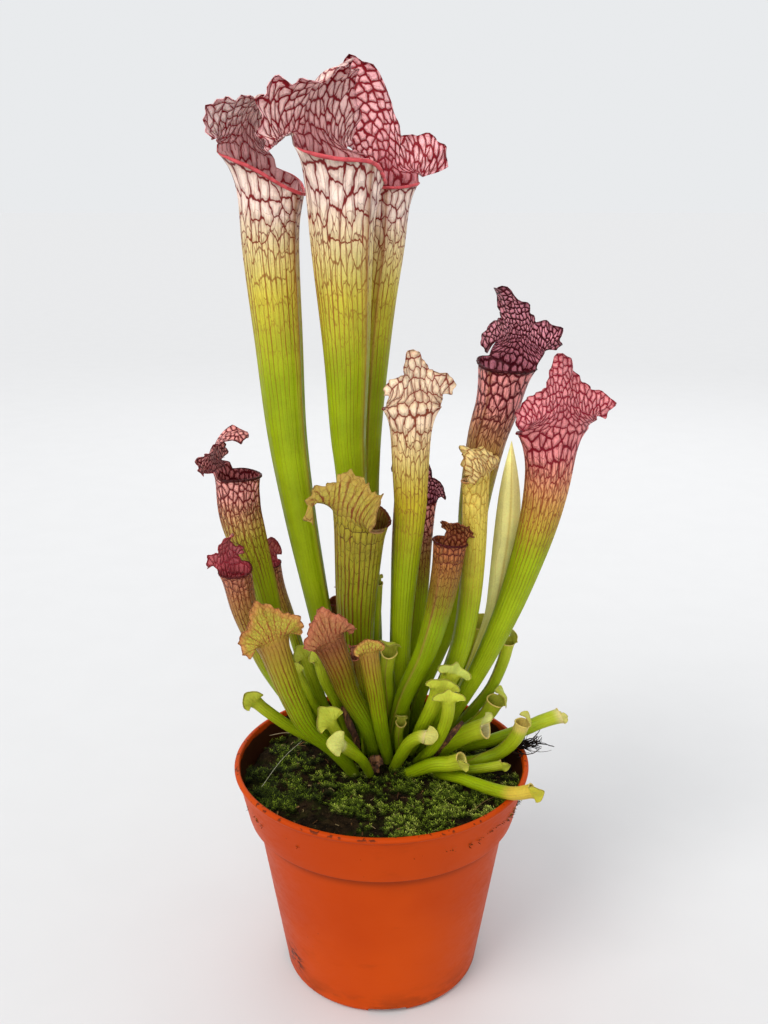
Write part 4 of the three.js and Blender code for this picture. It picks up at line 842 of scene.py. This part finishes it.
class Trumpet:
    """One leaf: a tube with a keel, a rolled lip and a ruffled hood, inside and outside."""

    def __init__(self, name, leaf):
        self.name = name
        self.q = q = {**USUAL, **leaf}
        self.at, self.length = centre_line(q["path"])
        self.look = LOOKS[LEAF_LOOK.get(name, "fresh")]
        self.random = np.random.default_rng(sum(map(ord, name)))
        self.shift = self.random.uniform(0, 40)
        # The size of the cells between veins, and the number of ribs, grow with the mouth
        self.cell = (1.6 + 0.28 * q["mouth"]) * self.look["cell"]
        self.hood_cell = (1.9 + 0.1 * q["mouth"]) * self.look["hood_cell"]
        self.ribs = round(12 + 1.7 * q["mouth"])
        self.neck = math.radians(q["neck"])
        self.throat = 1 - min(THROAT_SHARE, THROAT * q["mouth"] / self.length)
        self.end_radius = float(self.radius(np.array([1.0]))[0])
        kind = LARGE if q["mouth"] > LARGE_MOUTH and not q["girth"] else SMALL
        self.wall, self.half, self.back, self.frilly = (kind[k] for k in ("wall", "half", "back", "frilly"))
        self.up = kind["long_up" if q["long"] > LONG_HOOD else "up"]
        self.skin = Skin()

    def frame(self, share):
        return tube_frame(self.at, share, self.q["az"])

    def mouth_frame(self):
        return (v[0] for v in self.frame(np.array([1.0])))

    def tint(self, t, theta):
        """Colours and marks at shares t of the leaf (1 at the mouth, 2 at the margin)."""
        flesh, vein = (to_linear(ramp(self.look[key], t)) for key in ("flesh", "vein"))
        net, rib, mid, fine = (ramp(self.look[key], t) for key in ("net", "rib", "mid", "fine"))
        seam = bell(np.sin(theta / 2) * 2, 0.1) * 0.8
        seam = (seam * (t <= 1) * smooth(t * 2.5))[..., None]
        flesh = blend(flesh, 0.5 * vein + 0.5 * to_linear(SEAM_TINT), seam)
        if self.name in DRY_TIPS:
            start, *straw = DRY_TIPS[self.name]
            dried = smooth((t - start) / 0.08)[..., None]
            flesh = blend(flesh, to_linear(straw), dried)
            vein = blend(vein, to_linear(straw) * 0.6, dried)
        puff = 0.1 + 0.9 * np.clip(net, 0, 1)
        return dict(flesh=np.concatenate([flesh, mid], -1), vein=np.concatenate([vein, fine], -1),
                    marks=np.concatenate([net, rib, puff], -1))

    def radius(self, share):
        q = self.q
        if q["girth"]:
            return q["foot"] * (1 - share) + q["girth"] * np.sin(math.pi * share ** GIRTH_POWER) + 0.05
        return (q["foot"] + (q["mouth"] - q["foot"]) * share ** q["power"]
                + q["bulge"] * bell(share - BULGE_PLACE, BULGE_SPREAD))

    def tube(self, share, theta, wall=0.0):
        """Points of the tube's surface, wall inside its outer face."""
        q = self.q
        place, along, front, left = self.frame(share)
        end = np.clip((share - self.throat) / (1 - self.throat), 0, 1)
        near = from_front(theta)
        edge = math.pi - self.neck
        side = np.where(near < edge, bell(edge - near, FLARE_SPREAD), ((math.pi - near) / self.neck) ** 2)
        flare = (end ** 3)[:, None] * (q["flare"] * side + q["spout"] * bell(near, SPOUT_SPREAD))
        base = self.radius(share)[:, None]
        radius = base * (1 + flare) - wall
        if wall == 0:
            keel = bell(near, KEEL_SPREAD) * smooth(share * 6)[:, None] * smooth((1 - share) * 14)[:, None]
            radius = radius + keel * min(KEEL_MOST, KEEL_GROWTH * q["mouth"])
        ribs = np.sin(self.ribs * theta + 3 * share[:, None])
        radius = radius + RIB_HEIGHT * (base / RIB_RADIUS) * ribs * smooth(share * 5)[:, None]
        rim = (-q["tilt"] * q["mouth"] * np.cos(theta - math.radians(q["dip"]))
               + q["crest"] * bell(near, CREST_SPREAD))
        lift = smooth(end)[:, None] * rim[None]
        ways = around(theta, front[:, None], left[:, None])
        return place[:, None] + ways * radius[..., None] + along[:, None] * lift[..., None]

    def spindle(self, share, theta):
        """Points of a closed leaf's surface."""
        place, _, front, left = self.frame(share)
        ridge = 1 + 0.1 * bell(np.sin(theta / 2) * 2, 0.3) + 0.02 * np.sin(7 * theta)
        ways = around(theta, front[:, None], left[:, None])
        return place[:, None] + ways * (self.radius(share)[:, None] * ridge)[..., None]

    def hood(self, across, up):
        """The hood's outer face, its flat coordinates (X, Y), and the shares across (A) and up (B)."""
        q = self.q
        place, along, front, left = self.mouth_frame()
        neck, radius, dip = self.neck, self.end_radius, math.radians(q["dip"])
        root = radius * neck
        A, B = np.meshgrid(across, up)
        rest = (1 - B) ** 2
        phi = A * math.radians(q["fan"])
        reach = np.where(np.cos(phi) >= 0, q["long"], q["long"] * q["back"])
        out = 1 / np.sqrt((np.sin(phi) / q["wide"]) ** 2 + (np.cos(phi) / reach) ** 2)
        out = out * (1 + q["tip"] * bell(phi, TIP_SPREAD) + q["skew"] * np.sin(phi)
                     - q["waist"] * np.sin(2 * np.clip(phi, -math.pi / 2, math.pi / 2)) ** 2)
        p = self.random.uniform(0, TURN, 5)
        out = out * (1 + self.frilly * sum(
            deep * np.sin(turns * phi + shift) for (turns, deep, _), shift in zip(FRILLS, p)))
        phi = phi + math.radians(q["turn"]) * B
        X = rest * A * root + 2 * NECK_HOLD * B * (1 - B) * A * root + B ** 2 * out * np.sin(phi)
        Y = 2 * B * (1 - B) * q["stalk"] + B ** 2 * (q["stalk"] + out * np.cos(phi))

        # Bent over the mouth along its length, and rolled across
        lean = math.radians(q["lean"])
        bend = math.radians(q["arch"] - q["lean"]) / (q["stalk"] + q["long"] * (1 + q["tip"]))
        if abs(bend) < NEARLY_FLAT:
            bend = NEARLY_FLAT
        angle = lean + bend * np.maximum(Y, 0)
        rise = (np.sin(angle) - math.sin(lean)) / bend + np.minimum(Y, 0) * math.cos(lean)
        ahead = (math.cos(lean) - np.cos(angle)) / bend + np.minimum(Y, 0) * math.sin(lean)
        roll = 1 / radius + (q["cup"] - 1 / radius) * smooth(B / NECK_RISE)
        roll = np.where(np.abs(roll) < NEARLY_FLAT, NEARLY_FLAT, roll)
        turn = np.clip(roll * X, -ROLL_LIMIT, ROLL_LIMIT)
        sideways = np.sin(turn) / roll

        # Frills at the margin and waves
        size = (q["long"] + q["wide"]) / 2
        frill = sum(high * np.sin(turns * phi + shift)
                    for (turns, _, high), shift in zip(FRILLS, p[[3, 4, 0]]))
        ruffle = self.frilly * size * frill * B ** FRILL_POWER
        ruffle = ruffle + size * DIMPLES * np.sin(13 * phi + 9 * B + p[0]) * np.sin(math.pi * B) ** 2
        proud = (1 - np.cos(turn)) / roll + q["wave"] * B ** WAVE_POWER * np.sin(q["waves"] * phi) + ruffle

        # Fitted to the back of the mouth
        tilted = math.cos(dip) + (np.cos(A * neck - dip) - math.cos(dip)) * rest
        lift = q["tilt"] * q["mouth"] * tilted
        lift = lift + q["crest"] * bell(math.pi - np.abs(A) * neck, CREST_SPREAD) * rest
        push = radius * q["flare"] * A ** 2 * rest
        points = (place - front * radius + rise[..., None] * along + ahead[..., None] * front
                  - sideways[..., None] * left + proud[..., None] * around(angle, front, -along)
                  + lift[..., None] * along - push[..., None] * around(A * neck, front, left))
        return points, X, Y, A, B

    def build(self):
        half, back, edge = self.half, self.back, math.pi - self.neck
        if self.q["girth"]:
            theta = np.linspace(0, TURN, SPINDLE_SIDES + 1)
        else:
            theta = np.r_[np.linspace(0, edge, half + 1),
                          np.linspace(edge, math.pi + self.neck, back + 1)[1:],
                          np.linspace(math.pi + self.neck, TURN, half + 1)[1:]]
        rows = round(self.length / ROW_LENGTH) + 8
        share = np.r_[np.linspace(0, self.throat, rows)[:-1], np.linspace(self.throat, 1, THROAT_ROWS)]
        outer = self.ring(share, theta, 0.0)
        self.cap(outer[0], False)
        if self.q["girth"]:
            self.cap(outer[-1], True)
            return
        inner = self.ring(share[share > HOLLOW_FROM], theta, self.wall)
        self.cap(inner[0], True)
        neck_points = self.add_lip(outer[-1], inner[-1], theta)
        self.add_hood(outer[-1], inner[-1], neck_points)

    def place_on_tube(self, share, theta):
        """Where the points of a tube lie in the net of veins: across, along, and in ribs."""
        if self.q["girth"]:
            far = np.cumsum(np.r_[0, np.diff(share)]) * self.length / 6
            return grid_of((theta / 2 + self.shift)[None], far[:, None], (theta / TURN * 9)[None])
        u = (theta - math.pi) * self.end_radius / self.cell
        stretch = np.interp(share, [0, 0.6, 0.85, 1], [3.6, 3.0, 2.0, 1.35])
        v = np.cumsum(np.r_[0, np.diff(share) * self.length / (self.cell * stretch[1:])])
        return grid_of(u[None] + self.shift, (v - v[-1])[:, None], (theta / TURN * self.ribs)[None])

    def ring(self, share, theta, wall):
        """Adds a tube, wall inside the leaf's outer face, and gives its grid of points."""
        points = self.spindle(share, theta) if self.q["girth"] else self.tube(share, theta, wall)
        t = share + 0.35 * smooth((share - 0.8) / 0.15) * (wall > 0)
        values = self.tint(*np.broadcast_arrays(t[:, None], theta[None]))
        index = self.skin.add(points[:, :-1], **{k: v[:, :-1] for k, v in values.items()})
        index = np.concatenate([index, index[:, :1]], 1)
        self.skin.sheet(index, self.place_on_tube(share, theta), flip=wall > 0)
        return index

    def cap(self, loop, up):
        loop = loop[:-1].tolist()
        self.skin.faces.append(loop if up else loop[::-1])
        self.skin.corners.append(np.zeros((len(loop), 3)))

    def add_lip(self, outer, inner, theta):
        """A bead from the outer to the inner edge of the mouth's front, thinning towards the hood.

        Gives the two points in which the hood's margin starts and ends.
        """
        wall, first = self.wall, self.half + self.back
        columns = list(range(first, len(theta) - 1)) + list(range(self.half + 1))
        turn = np.array([theta[c] - (TURN if c >= first else 0) for c in columns])
        _, along, front, left = self.mouth_frame()
        ways = around(turn, front, left)
        edge = self.tube(np.array([1.0]), turn)[0]
        tangent = unit(np.gradient(edge, axis=0))
        upward = unit(np.cross(ways, tangent))
        upward = upward * np.sign(upward @ along)[:, None]
        outward = unit(np.cross(tangent, upward))
        outward = outward * np.sign((outward * ways).sum(-1))[:, None]
        near_neck = np.minimum(math.pi - self.neck - np.abs(turn), 0.5) / 0.5
        size = (LIP_LEAST + LIP_GROWTH * self.q["mouth"]) * (0.3 + 0.7 * smooth(near_neck))[:, None]
        centre = edge + outward * (size * 0.75 - wall / 2) - upward * size * 0.1
        middle = edge - ways * wall / 2 + upward * wall / 2
        grid = [outer[columns]]
        for k in range(1, LIP_STEPS):
            angle = math.radians(-150 + 320 * k / LIP_STEPS)
            points = centre + size * (math.cos(angle) * outward + math.sin(angle) * upward)
            points[0], points[-1] = middle[0], middle[-1]
            values = self.tint(np.ones(len(turn)), turn)
            mottled = 1 + 0.12 * np.sin(5.3 * turn + k) * np.sin(11 * turn + 2 * k)
            colour = to_linear(self.look["lip"]) * mottled[:, None]
            values["flesh"][:, :3] = np.clip(colour, 0, 1)
            values["vein"][:, :3] = np.clip(colour * 0.55, 0, 1)
            values["marks"][:, :2] = 0.1
            grid.append(self.skin.add(points, **values))
        for row in grid[2:]:
            row[0], row[-1] = grid[1][0], grid[1][-1]
        grid.append(inner[columns])
        where = grid_of((turn * self.end_radius / self.cell + self.shift)[None],
                        np.arange(len(grid))[:, None] * 0.12 + 7.0, (turn * 0 + 0.1)[None])
        self.skin.sheet(np.stack(grid), where)
        return grid[1][-1], grid[1][0]

    def add_hood(self, outer, inner, neck_points):
        look, wall = self.look, self.wall
        rows = np.linspace(0, 1, self.up + 1) ** 0.85
        points, X, Y, A, B = self.hood(np.linspace(-1, 1, self.back + 1), rows)
        down, side = np.gradient(points, axis=0), np.gradient(points, axis=1)
        normal = -np.cross(side, down)
        normal = normal / np.maximum(np.linalg.norm(normal, axis=-1, keepdims=True), 1e-9)
        behind = points[1:]
        inside = behind + normal[1:] * (wall * (1 - HOOD_THINNING * B[1:])[..., None])
        top = smooth((B - 1) / look["fringe"] + 1)
        edge = np.maximum(top, smooth((np.abs(A) - 0.93) / 0.07) * smooth(B * 3))[..., None]
        pale_flesh = to_linear(ramp(look["flesh"], 0.95))

        def shades(pale):
            values = self.tint(np.maximum(1 + B, 1.35 - pale), A * 0 + math.pi)
            flesh = values["flesh"][..., :3]
            flesh = blend(flesh, to_linear(look["margin"]), 0.75 * edge)
            values["flesh"][..., :3] = blend(flesh, pale_flesh, pale)
            values["marks"][..., 0] *= 1 - 0.35 * pale
            return {k: v[1:] for k, v in values.items()}

        outside_values, inside_values = shades(0.55), shades(0.0)
        back_face = self.skin.add(behind, **outside_values)
        front_face = self.skin.add(inside, **inside_values)
        columns = slice(self.half, self.half + self.back + 1)
        back_face = np.concatenate([outer[columns][None], back_face])
        front_face = np.concatenate([inner[columns][None], front_face])

        # The veins' coordinates are the flat ones near the mouth and a fan further out
        grow = 1 - smooth(B / 0.5)
        cell = blend(self.hood_cell, self.cell, grow)
        far = np.hypot(X, Y)
        fan = A * math.radians(self.q["fan"]) * np.sqrt(far * self.q["long"] / 2)
        where = np.stack([blend(fan, X, grow) / cell + self.shift,
                          blend(0.9 * far, Y, grow) / (1.15 * cell),
                          A * self.ribs / 4 + 0.5 * self.ribs], -1)
        self.skin.sheet(back_face, where)
        self.skin.sheet(front_face, where, flip=True)

        proud = np.concatenate([-side[1:-1, 0], down[-1], side[-2:0:-1, -1]])
        middles = margin_of((behind + inside) / 2) + unit(proud) * wall * 0.3
        mids = self.skin.add(middles, **{k: margin_of(v) for k, v in inside_values.items()})
        mids = np.concatenate([[neck_points[0]], mids, [neck_points[1]]])
        margin = np.stack([margin_of(back_face), mids, margin_of(front_face)])
        self.skin.sheet(margin, np.stack([margin_of(where)] * 3), flip=True)


def scrap_skin(scrap, seed):
    """A dead blade: rolled across, crumpled, closed all round."""
    share, across = np.linspace(0, 1, SCRAP_ROWS), np.linspace(-1, 1, SCRAP_COLUMNS)[None]
    place, _, front, left = (v[:, None] for v in tube_frame(
        centre_line(scrap["path"])[0], share, scrap["az"]))
    share = share[:, None]
    width = 0.5 * (scrap["start"] + (scrap["width"] - scrap["start"]) * np.sin(
        math.pi * SCRAP_WAVE * share ** SCRAP_POWER))
    width = width * (1 + 0.06 * np.sin(31 * share + seed) + 0.05 * np.sin(17 * share))
    rolled = scrap["curl"] * across ** 2 * width
    crumple = 0.12 * np.sin(23 * share + 4 * across + seed) * smooth(share * 4)
    middle = place + (across * width)[..., None] * left + (rolled + crumple)[..., None] * front
    half = (0.3 * (1 - 0.6 * np.abs(across) ** 3) * (1 - 0.5 * share))[..., None]
    skin = Skin()
    outside = skin.add(middle - half * front)
    inside = skin.add(middle + half * front)
    skin.sheet(outside, flip=True)
    skin.sheet(inside)
    skin.sheet(np.stack([rim_of(outside), rim_of(inside)]), flip=True)
    return skin


# Pot and peat

def body_radius(z):
    return FOOT_RADIUS + BODY_SLOPE * (z - FOOT_ROUNDING)


def collar_radius(z):
    return COLLAR_BOTTOM_RADIUS + COLLAR_SLOPE * (z - COLLAR_BOTTOM)


def inner_radius(z):
    return (body_radius(z) if z < COLLAR_BOTTOM + WALL else collar_radius(z)) - WALL


def arc(centre, radius, start, end, steps):
    angles = np.radians(np.linspace(start, end, steps))
    return [(centre[0] + radius * math.cos(a), centre[1] + radius * math.sin(a)) for a in angles]


def pot_profile():
    """Radius and height: from the middle of the underside, round the outside, to that of the floor."""
    ring_in = FOOT_RADIUS - FOOT_ROUNDING
    hollow_edge = ring_in - FOOT_RING
    step = COLLAR_BOTTOM + WALL
    outside = [(0, 0), (CENTRE_PAD_RADIUS - 0.6, 0), (CENTRE_PAD_RADIUS, 0.6)]
    outside += [(r, FLOOR_BOTTOM) for r in (CENTRE_PAD_RADIUS, 15, 20, 32, hollow_edge)]
    outside += [(hollow_edge, 0.5), (hollow_edge + 0.4, 0), (ring_in, 0)]
    outside += arc((ring_in, FOOT_ROUNDING), FOOT_ROUNDING, -90, 0, 8)[1:]
    outside += [(body_radius(z), z) for z in np.linspace(8, COLLAR_BOTTOM - 0.4, 18)]
    outside += [(body_radius(COLLAR_BOTTOM) + 0.35, COLLAR_BOTTOM)]
    outside += [(COLLAR_BOTTOM_RADIUS - 0.9, COLLAR_BOTTOM)]
    outside += arc((COLLAR_BOTTOM_RADIUS - 0.7, COLLAR_BOTTOM + 0.7), 0.7, -90, 0, 5)
    outside += [(collar_radius(z), z) for z in np.linspace(74, POT_HEIGHT - 3.2, 7)]
    outside += [(RIM_RADIUS - 0.5, POT_HEIGHT - 2.6)]
    outside += arc((RIM_RADIUS + RIM_BEAD - 1.0, POT_HEIGHT - 1.2), 1.0, -60, 60, 8)
    outside += arc((RIM_RADIUS - 0.7, POT_HEIGHT - 0.8), 0.8, 60, 180, 6)
    inside = [(inner_radius(z), z) for z in (91, 86, 80, 76, step + 0.1)]
    inside += [(body_radius(z) - WALL, z) for z in (step, 60, 40, 20, FLOOR_TOP + 2)]
    inside += [(body_radius(FLOOR_TOP) - WALL - 1.5, FLOOR_TOP), (20, FLOOR_TOP), (0, FLOOR_TOP)]
    return np.array(outside + inside)


def lathe(profile, angles, move):
    """Turns a profile that starts and ends on the axis, then moves its points."""
    z = np.broadcast_to(profile[:, 1:2], (len(profile), len(angles)))
    r = np.broadcast_to(profile[:, 0:1], z.shape)
    skin = Skin()
    index = skin.add(move(np.stack([r * np.cos(angles), r * np.sin(angles), z], -1)))
    index[0], index[-1] = index[0, 0], index[-1, 0]
    skin.sheet(np.concatenate([index, index[:, :1]], 1))
    return skin


def pot_skin():
    reach = NOTCH_WIDTH / 2 / (FOOT_RADIUS - FOOT_ROUNDING)
    middles = [-math.pi / 2 + math.radians(NOTCH_TURN) + k * TURN / NOTCH_COUNT
               for k in range(NOTCH_COUNT)]
    angles = np.linspace(0, TURN, 240, endpoint=False)
    for middle in middles:
        for side in (-1, 1):
            angles = np.r_[angles, (middle + side * reach) % TURN, (middle + side * (reach + 0.008)) % TURN]
    angles = np.sort(angles)

    def notch(points):
        cut = np.any([from_front(angles - middle % TURN) <= reach + 1e-6 for middle in middles], axis=0)
        far = np.hypot(points[..., 0], points[..., 1])
        low = (far > CENTRE_PAD_RADIUS + 1) & (points[..., 2] < NOTCH_HEIGHT) & cut[None]
        points[..., 2] = np.where(low, NOTCH_HEIGHT + 0.05 * points[..., 2], points[..., 2])
        return points

    return lathe(pot_profile(), angles, notch)


def value_noise(x, y, seed, size=64):
    """Smooth noise from -1 to 1 on a plane, by interpolation in a seeded table."""
    table = np.random.default_rng(seed).uniform(-1, 1, (size, size))
    xi, yi = np.floor(x).astype(int), np.floor(y).astype(int)
    fx = smooth(x - xi)

    def row(b):
        return blend(table[xi % size, b % size], table[(xi + 1) % size, b % size], fx)

    return blend(row(yi), row(yi + 1), smooth(y - yi))


def peat_top(x, y):
    far = np.hypot(x, y)
    swell = sum(high * np.sin(a * x + b * y + shift) for high, a, b, shift in PEAT_WAVES)
    lumps = 1.3 * value_noise(x / 7, y / 7, 3) + 0.8 * value_noise(x / 2.6, y / 2.6, 4)
    crumbs = 0.6 * np.abs(value_noise(x / 1.2, y / 1.2, 5)) + 0.2 * value_noise(x / 0.6, y / 0.6, 6)
    return PEAT_LEVEL + swell + lumps + crumbs - 1.2 * smooth((far - 52) / 5)


def peat_skin():
    step = COLLAR_BOTTOM + WALL + PEAT_GAP
    low = [(0, FLOOR_TOP + PEAT_GAP), (body_radius(4.4) - WALL - PEAT_GAP, FLOOR_TOP + PEAT_GAP)]
    low += [(body_radius(z) - WALL - PEAT_GAP, z) for z in (30, 60, step)]
    low += [(inner_radius(z) - PEAT_GAP, z) for z in (step + 0.1, 78, 81)]
    radii = np.linspace(inner_radius(PEAT_LEVEL) - PEAT_GAP, 0, 80)

    def crumble(points):
        top = points[len(low):]
        top[..., 2] = peat_top(top[..., 0], top[..., 1])
        return points

    return lathe(np.array(low + [(r, PEAT_LEVEL) for r in radii]),
                 np.linspace(0, TURN, 360, endpoint=False), crumble)


def moss_cover(x, y):
    """Where moss grows, from 0 to 1."""
    cover = 0.68 + 0.8 * value_noise(x / 6 + 5, y / 6, 11) + 0.7 * value_noise(x / 2.6, y / 2.6, 12)
    for bare_x, bare_y, size, amount in BARE_PATCHES:
        cover = cover - amount * bell(np.hypot(x - bare_x, y - bare_y), size)
    return np.clip(cover, 0, 1)


def moss_skin(side, count, seed):
    """Little tufts of moss: narrow leaflets spreading in a star, on the front or the back half."""
    random = np.random.default_rng(seed)
    angle = side * random.uniform(0, math.pi, count * 4)
    far = MOSS_REACH * np.sqrt(random.uniform(0, 1, count * 4))
    x, y = far * np.cos(angle), far * np.sin(angle)
    keep = random.uniform(0.15, 1, len(x)) < moss_cover(x, y)
    x, y = x[keep][:count], y[keep][:count]
    count = len(x)
    thick = moss_cover(x, y)
    tall = random.uniform(0.8, 2.8, count) * (0.4 + 0.8 * thick)
    lean = random.normal(0, 0.35, (count, 2))
    foot = np.stack([x, y, peat_top(x, y) - 0.3], -1)
    spin = random.uniform(0, TURN, (count, 1)) + np.arange(MOSS_LEAFLETS) * 2.4
    high = (np.arange(MOSS_LEAFLETS) / (MOSS_LEAFLETS - 1))[None] ** 0.7
    rise = tall[:, None] * high
    stem = foot[:, None] + np.stack([lean[:, :1] * rise, lean[:, 1:] * rise, rise], -1)
    reach = (random.uniform(1.2, 2.1, (count, 1)) * (1.1 - 0.4 * high))[..., None]
    outward = unit(np.stack([np.cos(spin), np.sin(spin), 0.15 + 0.8 * high ** 2 + 0 * spin], -1))
    aside = np.stack([-np.sin(spin), np.cos(spin), 0 * spin], -1) * (0.11 * reach)
    middle = stem + outward * reach * 0.45
    tip = stem + outward * reach - np.array([0, 0, 0.12])
    points = np.stack([stem, middle + aside, tip, middle - aside], 2)
    tone = random.uniform(0, 0.75, count) + 0.3 * value_noise(x / 9, y / 9, 15) + 0.003 * x + 0.15 * thick
    base = ramp(MOSS_TONES, np.clip(tone, 0, 1))
    light = (0.2 + 0.95 * high ** 1.5)[..., None, None] * np.array([0.6, 0.95, 1.35, 0.95])[:, None]
    colour = to_linear(np.clip(base[:, None, None] * light, 0, 255))
    skin = Skin()
    index = skin.add(points, tint=np.concatenate([colour, np.ones(colour.shape[:-1] + (1,))], -1))
    skin.faces = index.reshape(-1, 4).tolist()
    return skin


def add_strand(skin, points, radius, sides, end, tone):
    """Adds a thin round strand through points, thinning to end times its radius."""
    points = np.array(points, float)
    fine = np.linspace(0, 1, 3 * len(points))
    line = along_columns(fine, np.linspace(0, 1, len(points)), points)
    for _ in range(3):
        line[1:-1] = (line[:-2] + 2 * line[1:-1] + line[2:]) / 4
    along = unit(np.gradient(line, axis=0))
    aside = unit(np.cross(along, np.array([0.31, 0.17, 0.93])))
    above = np.cross(along, aside)
    turn = np.linspace(0, TURN, sides, endpoint=False)
    size = radius * (1 - (1 - end) * fine)
    ways = around(turn, aside[:, None], above[:, None])
    index = skin.add(line[:, None] + size[:, None, None] * ways, tint=linear(tone))
    skin.faces += [index[0].tolist()[::-1], index[-1].tolist()]
    index = np.concatenate([index, index[:, :1]], 1).tolist()
    for low, high in zip(index, index[1:]):
        skin.faces += [[low[j], low[j + 1], high[j + 1], high[j]] for j in range(sides)]


# Building

def build_leaves():
    tissue = leaf_material()
    for name, leaf in LEAVES.items():
        trumpet = Trumpet(name, leaf)
        trumpet.build()
        slot = SLOTS[LEAF_LOOK.get(name, "fresh")]
        trumpet.skin.piece(f"trumpet_{name}", tissue, slot, [f"leaf_{name}"])


def build_pot():
    pot = pot_skin().piece("flower_pot", pot_material(), "pot_plastic", ["pot"])
    cutters = []
    for k in range(DRAIN_COUNT):
        angle = TURN * k / DRAIN_COUNT
        bpy.ops.mesh.primitive_cylinder_add(
            vertices=40, radius=DRAIN_RADIUS * MM, depth=0.02,
            location=(DRAIN_CIRCLE * math.cos(angle) * MM, DRAIN_CIRCLE * math.sin(angle) * MM, 0.003))
        cutters.append(bpy.context.object)
    for cutter in cutters:
        cut = pot.modifiers.new("drain", "BOOLEAN")
        cut.operation, cut.solver, cut.object = "DIFFERENCE", "EXACT", cutter
    bpy.context.view_layer.update()
    whole = bpy.data.meshes.new_from_object(pot.evaluated_get(bpy.context.evaluated_depsgraph_get()))
    pot.modifiers.clear()
    pot.data = whole
    whole.name = "flower_pot"
    whole.shade_smooth()
    whole.set_sharp_from_angle(angle=math.radians(40))
    for cutter in cutters:
        bpy.data.objects.remove(cutter, do_unlink=True)


def build_soil():
    peat_skin().piece("peat_plug", peat_material(), "peat", ["peat"])
    moss = tinted_material("moss_green", 0.7, 900.0, 0.0002)
    for name, half in MOSS_HALVES.items():
        moss_skin(*half).piece(name, moss, "leaf_green")
    dry = dry_material()
    for k, (name, scrap) in enumerate(SCRAPS.items()):
        scrap_skin(scrap, 2.1 * k).piece(f"old_{name}", dry, "dry_leaf", [name])


def build_litter():
    """Bark bits and fibres lying on the peat, straws, and a dry tuft of roots on the rim."""
    random = np.random.default_rng(5)
    litter = Skin()
    steps = np.linspace(0, 1, 4)
    for _ in range(LITTER_COUNT):
        angle, far = random.uniform(0, TURN), 55 * math.sqrt(random.uniform(0, 1))
        way, long = random.uniform(0, TURN), random.uniform(1.0, 3.6)
        xs = far * math.cos(angle) + long * steps * math.cos(way) + 0.3 * np.sin(6 * steps)
        ys = far * math.sin(angle) + long * steps * math.sin(way)
        if np.hypot(xs, ys).max() > LITTER_REACH:
            continue
        zs = peat_top(xs, ys) + 0.35 + 0.5 * np.sin(math.pi * steps) * random.uniform(0, 1)
        tone = BROWNS[random.integers(len(BROWNS))]
        add_strand(litter, np.stack([xs, ys, zs], -1), random.uniform(0.12, 0.4), 5, 0.6, tone)
    for line, radius, tone in STRAWS:
        add_strand(litter, line, radius, 6, 0.6, tone)
    fibre = tinted_material("dry_litter", 0.85, 1200.0, 0.0003)
    litter.piece("peat_litter", fibre, "dry_leaf")

    roots = Skin()
    for k in range(ROOT_COUNT):
        line = [np.array(ROOT_PLACE) + random.normal(0, 1, 3) * ROOT_SPREAD]
        way = unit(random.uniform(*ROOT_WAYS))
        for _ in range(6 + k % 3 * 4):
            way = unit(way + random.normal(0, 0.22, 3) + np.array([0.02, 0, 0.02]))
            line.append(line[-1] + way * random.uniform(0.7, 1.2))
        line = np.array(line)
        over_rim = np.hypot(line[:, 0], line[:, 1]) > 57
        line[:, 2] = np.where(over_rim, np.maximum(line[:, 2], POT_HEIGHT + 0.3), line[:, 2])
        tone = ROOT_BROWNS[random.integers(len(ROOT_BROWNS))]
        add_strand(roots, line, random.uniform(0.16, 0.4), 5, 0.4, tone)
    roots.piece("root_tuft", fibre, "dry_leaf")


def add_lamp(kind, name, place, aim, power, colour, spread):
    """A lamp turned to its aim. spread is a sun's angle in degrees or a panel's size in metres."""
    light = bpy.data.lights.new(name, kind)
    light.energy = power
    light.color = colour
    if kind == "SUN":
        light.angle = math.radians(spread)
    else:
        light.size = spread
    holder = bpy.data.objects.new(name, light)
    holder.location = place
    way = np.array(aim) - np.array(place)
    tilt = math.atan2(math.hypot(way[0], way[1]), -way[2])
    holder.rotation_euler = (tilt, 0, math.atan2(way[0], -way[1]) + math.pi)
    bpy.context.scene.collection.objects.link(holder)


def build_stage():
    bpy.ops.mesh.primitive_plane_add(size=FLOOR_SIZE, location=(0, 0, 0))
    floor = bpy.context.object
    floor.name = "studio_floor"
    floor.data.materials.append(floor_material())
    world = bpy.data.worlds.new("studio")
    bpy.context.scene.world = world
    world.use_nodes = True
    background = world.node_tree.nodes["Background"]
    background.inputs[0].default_value = linear(WORLD_COLOUR)
    background.inputs[1].default_value = WORLD_STRENGTH
    for lamp in LAMPS:
        add_lamp(*lamp)


def build_camera():
    data = bpy.data.cameras.new("view")
    data.lens = LENS
    data.sensor_width = data.sensor_height = SENSOR
    data.sensor_fit = "VERTICAL"
    camera = bpy.data.objects.new("view", data)
    camera.location = CAMERA_PLACE
    camera.rotation_euler = (math.pi / 2 - CAMERA_DOWN, 0, 0)
    bpy.context.scene.collection.objects.link(camera)
    bpy.context.scene.camera = camera


build_camera()
build_pot()
build_soil()
build_leaves()
build_litter()
build_stage()
bpy.context.scene.view_settings.view_transform = "Standard"
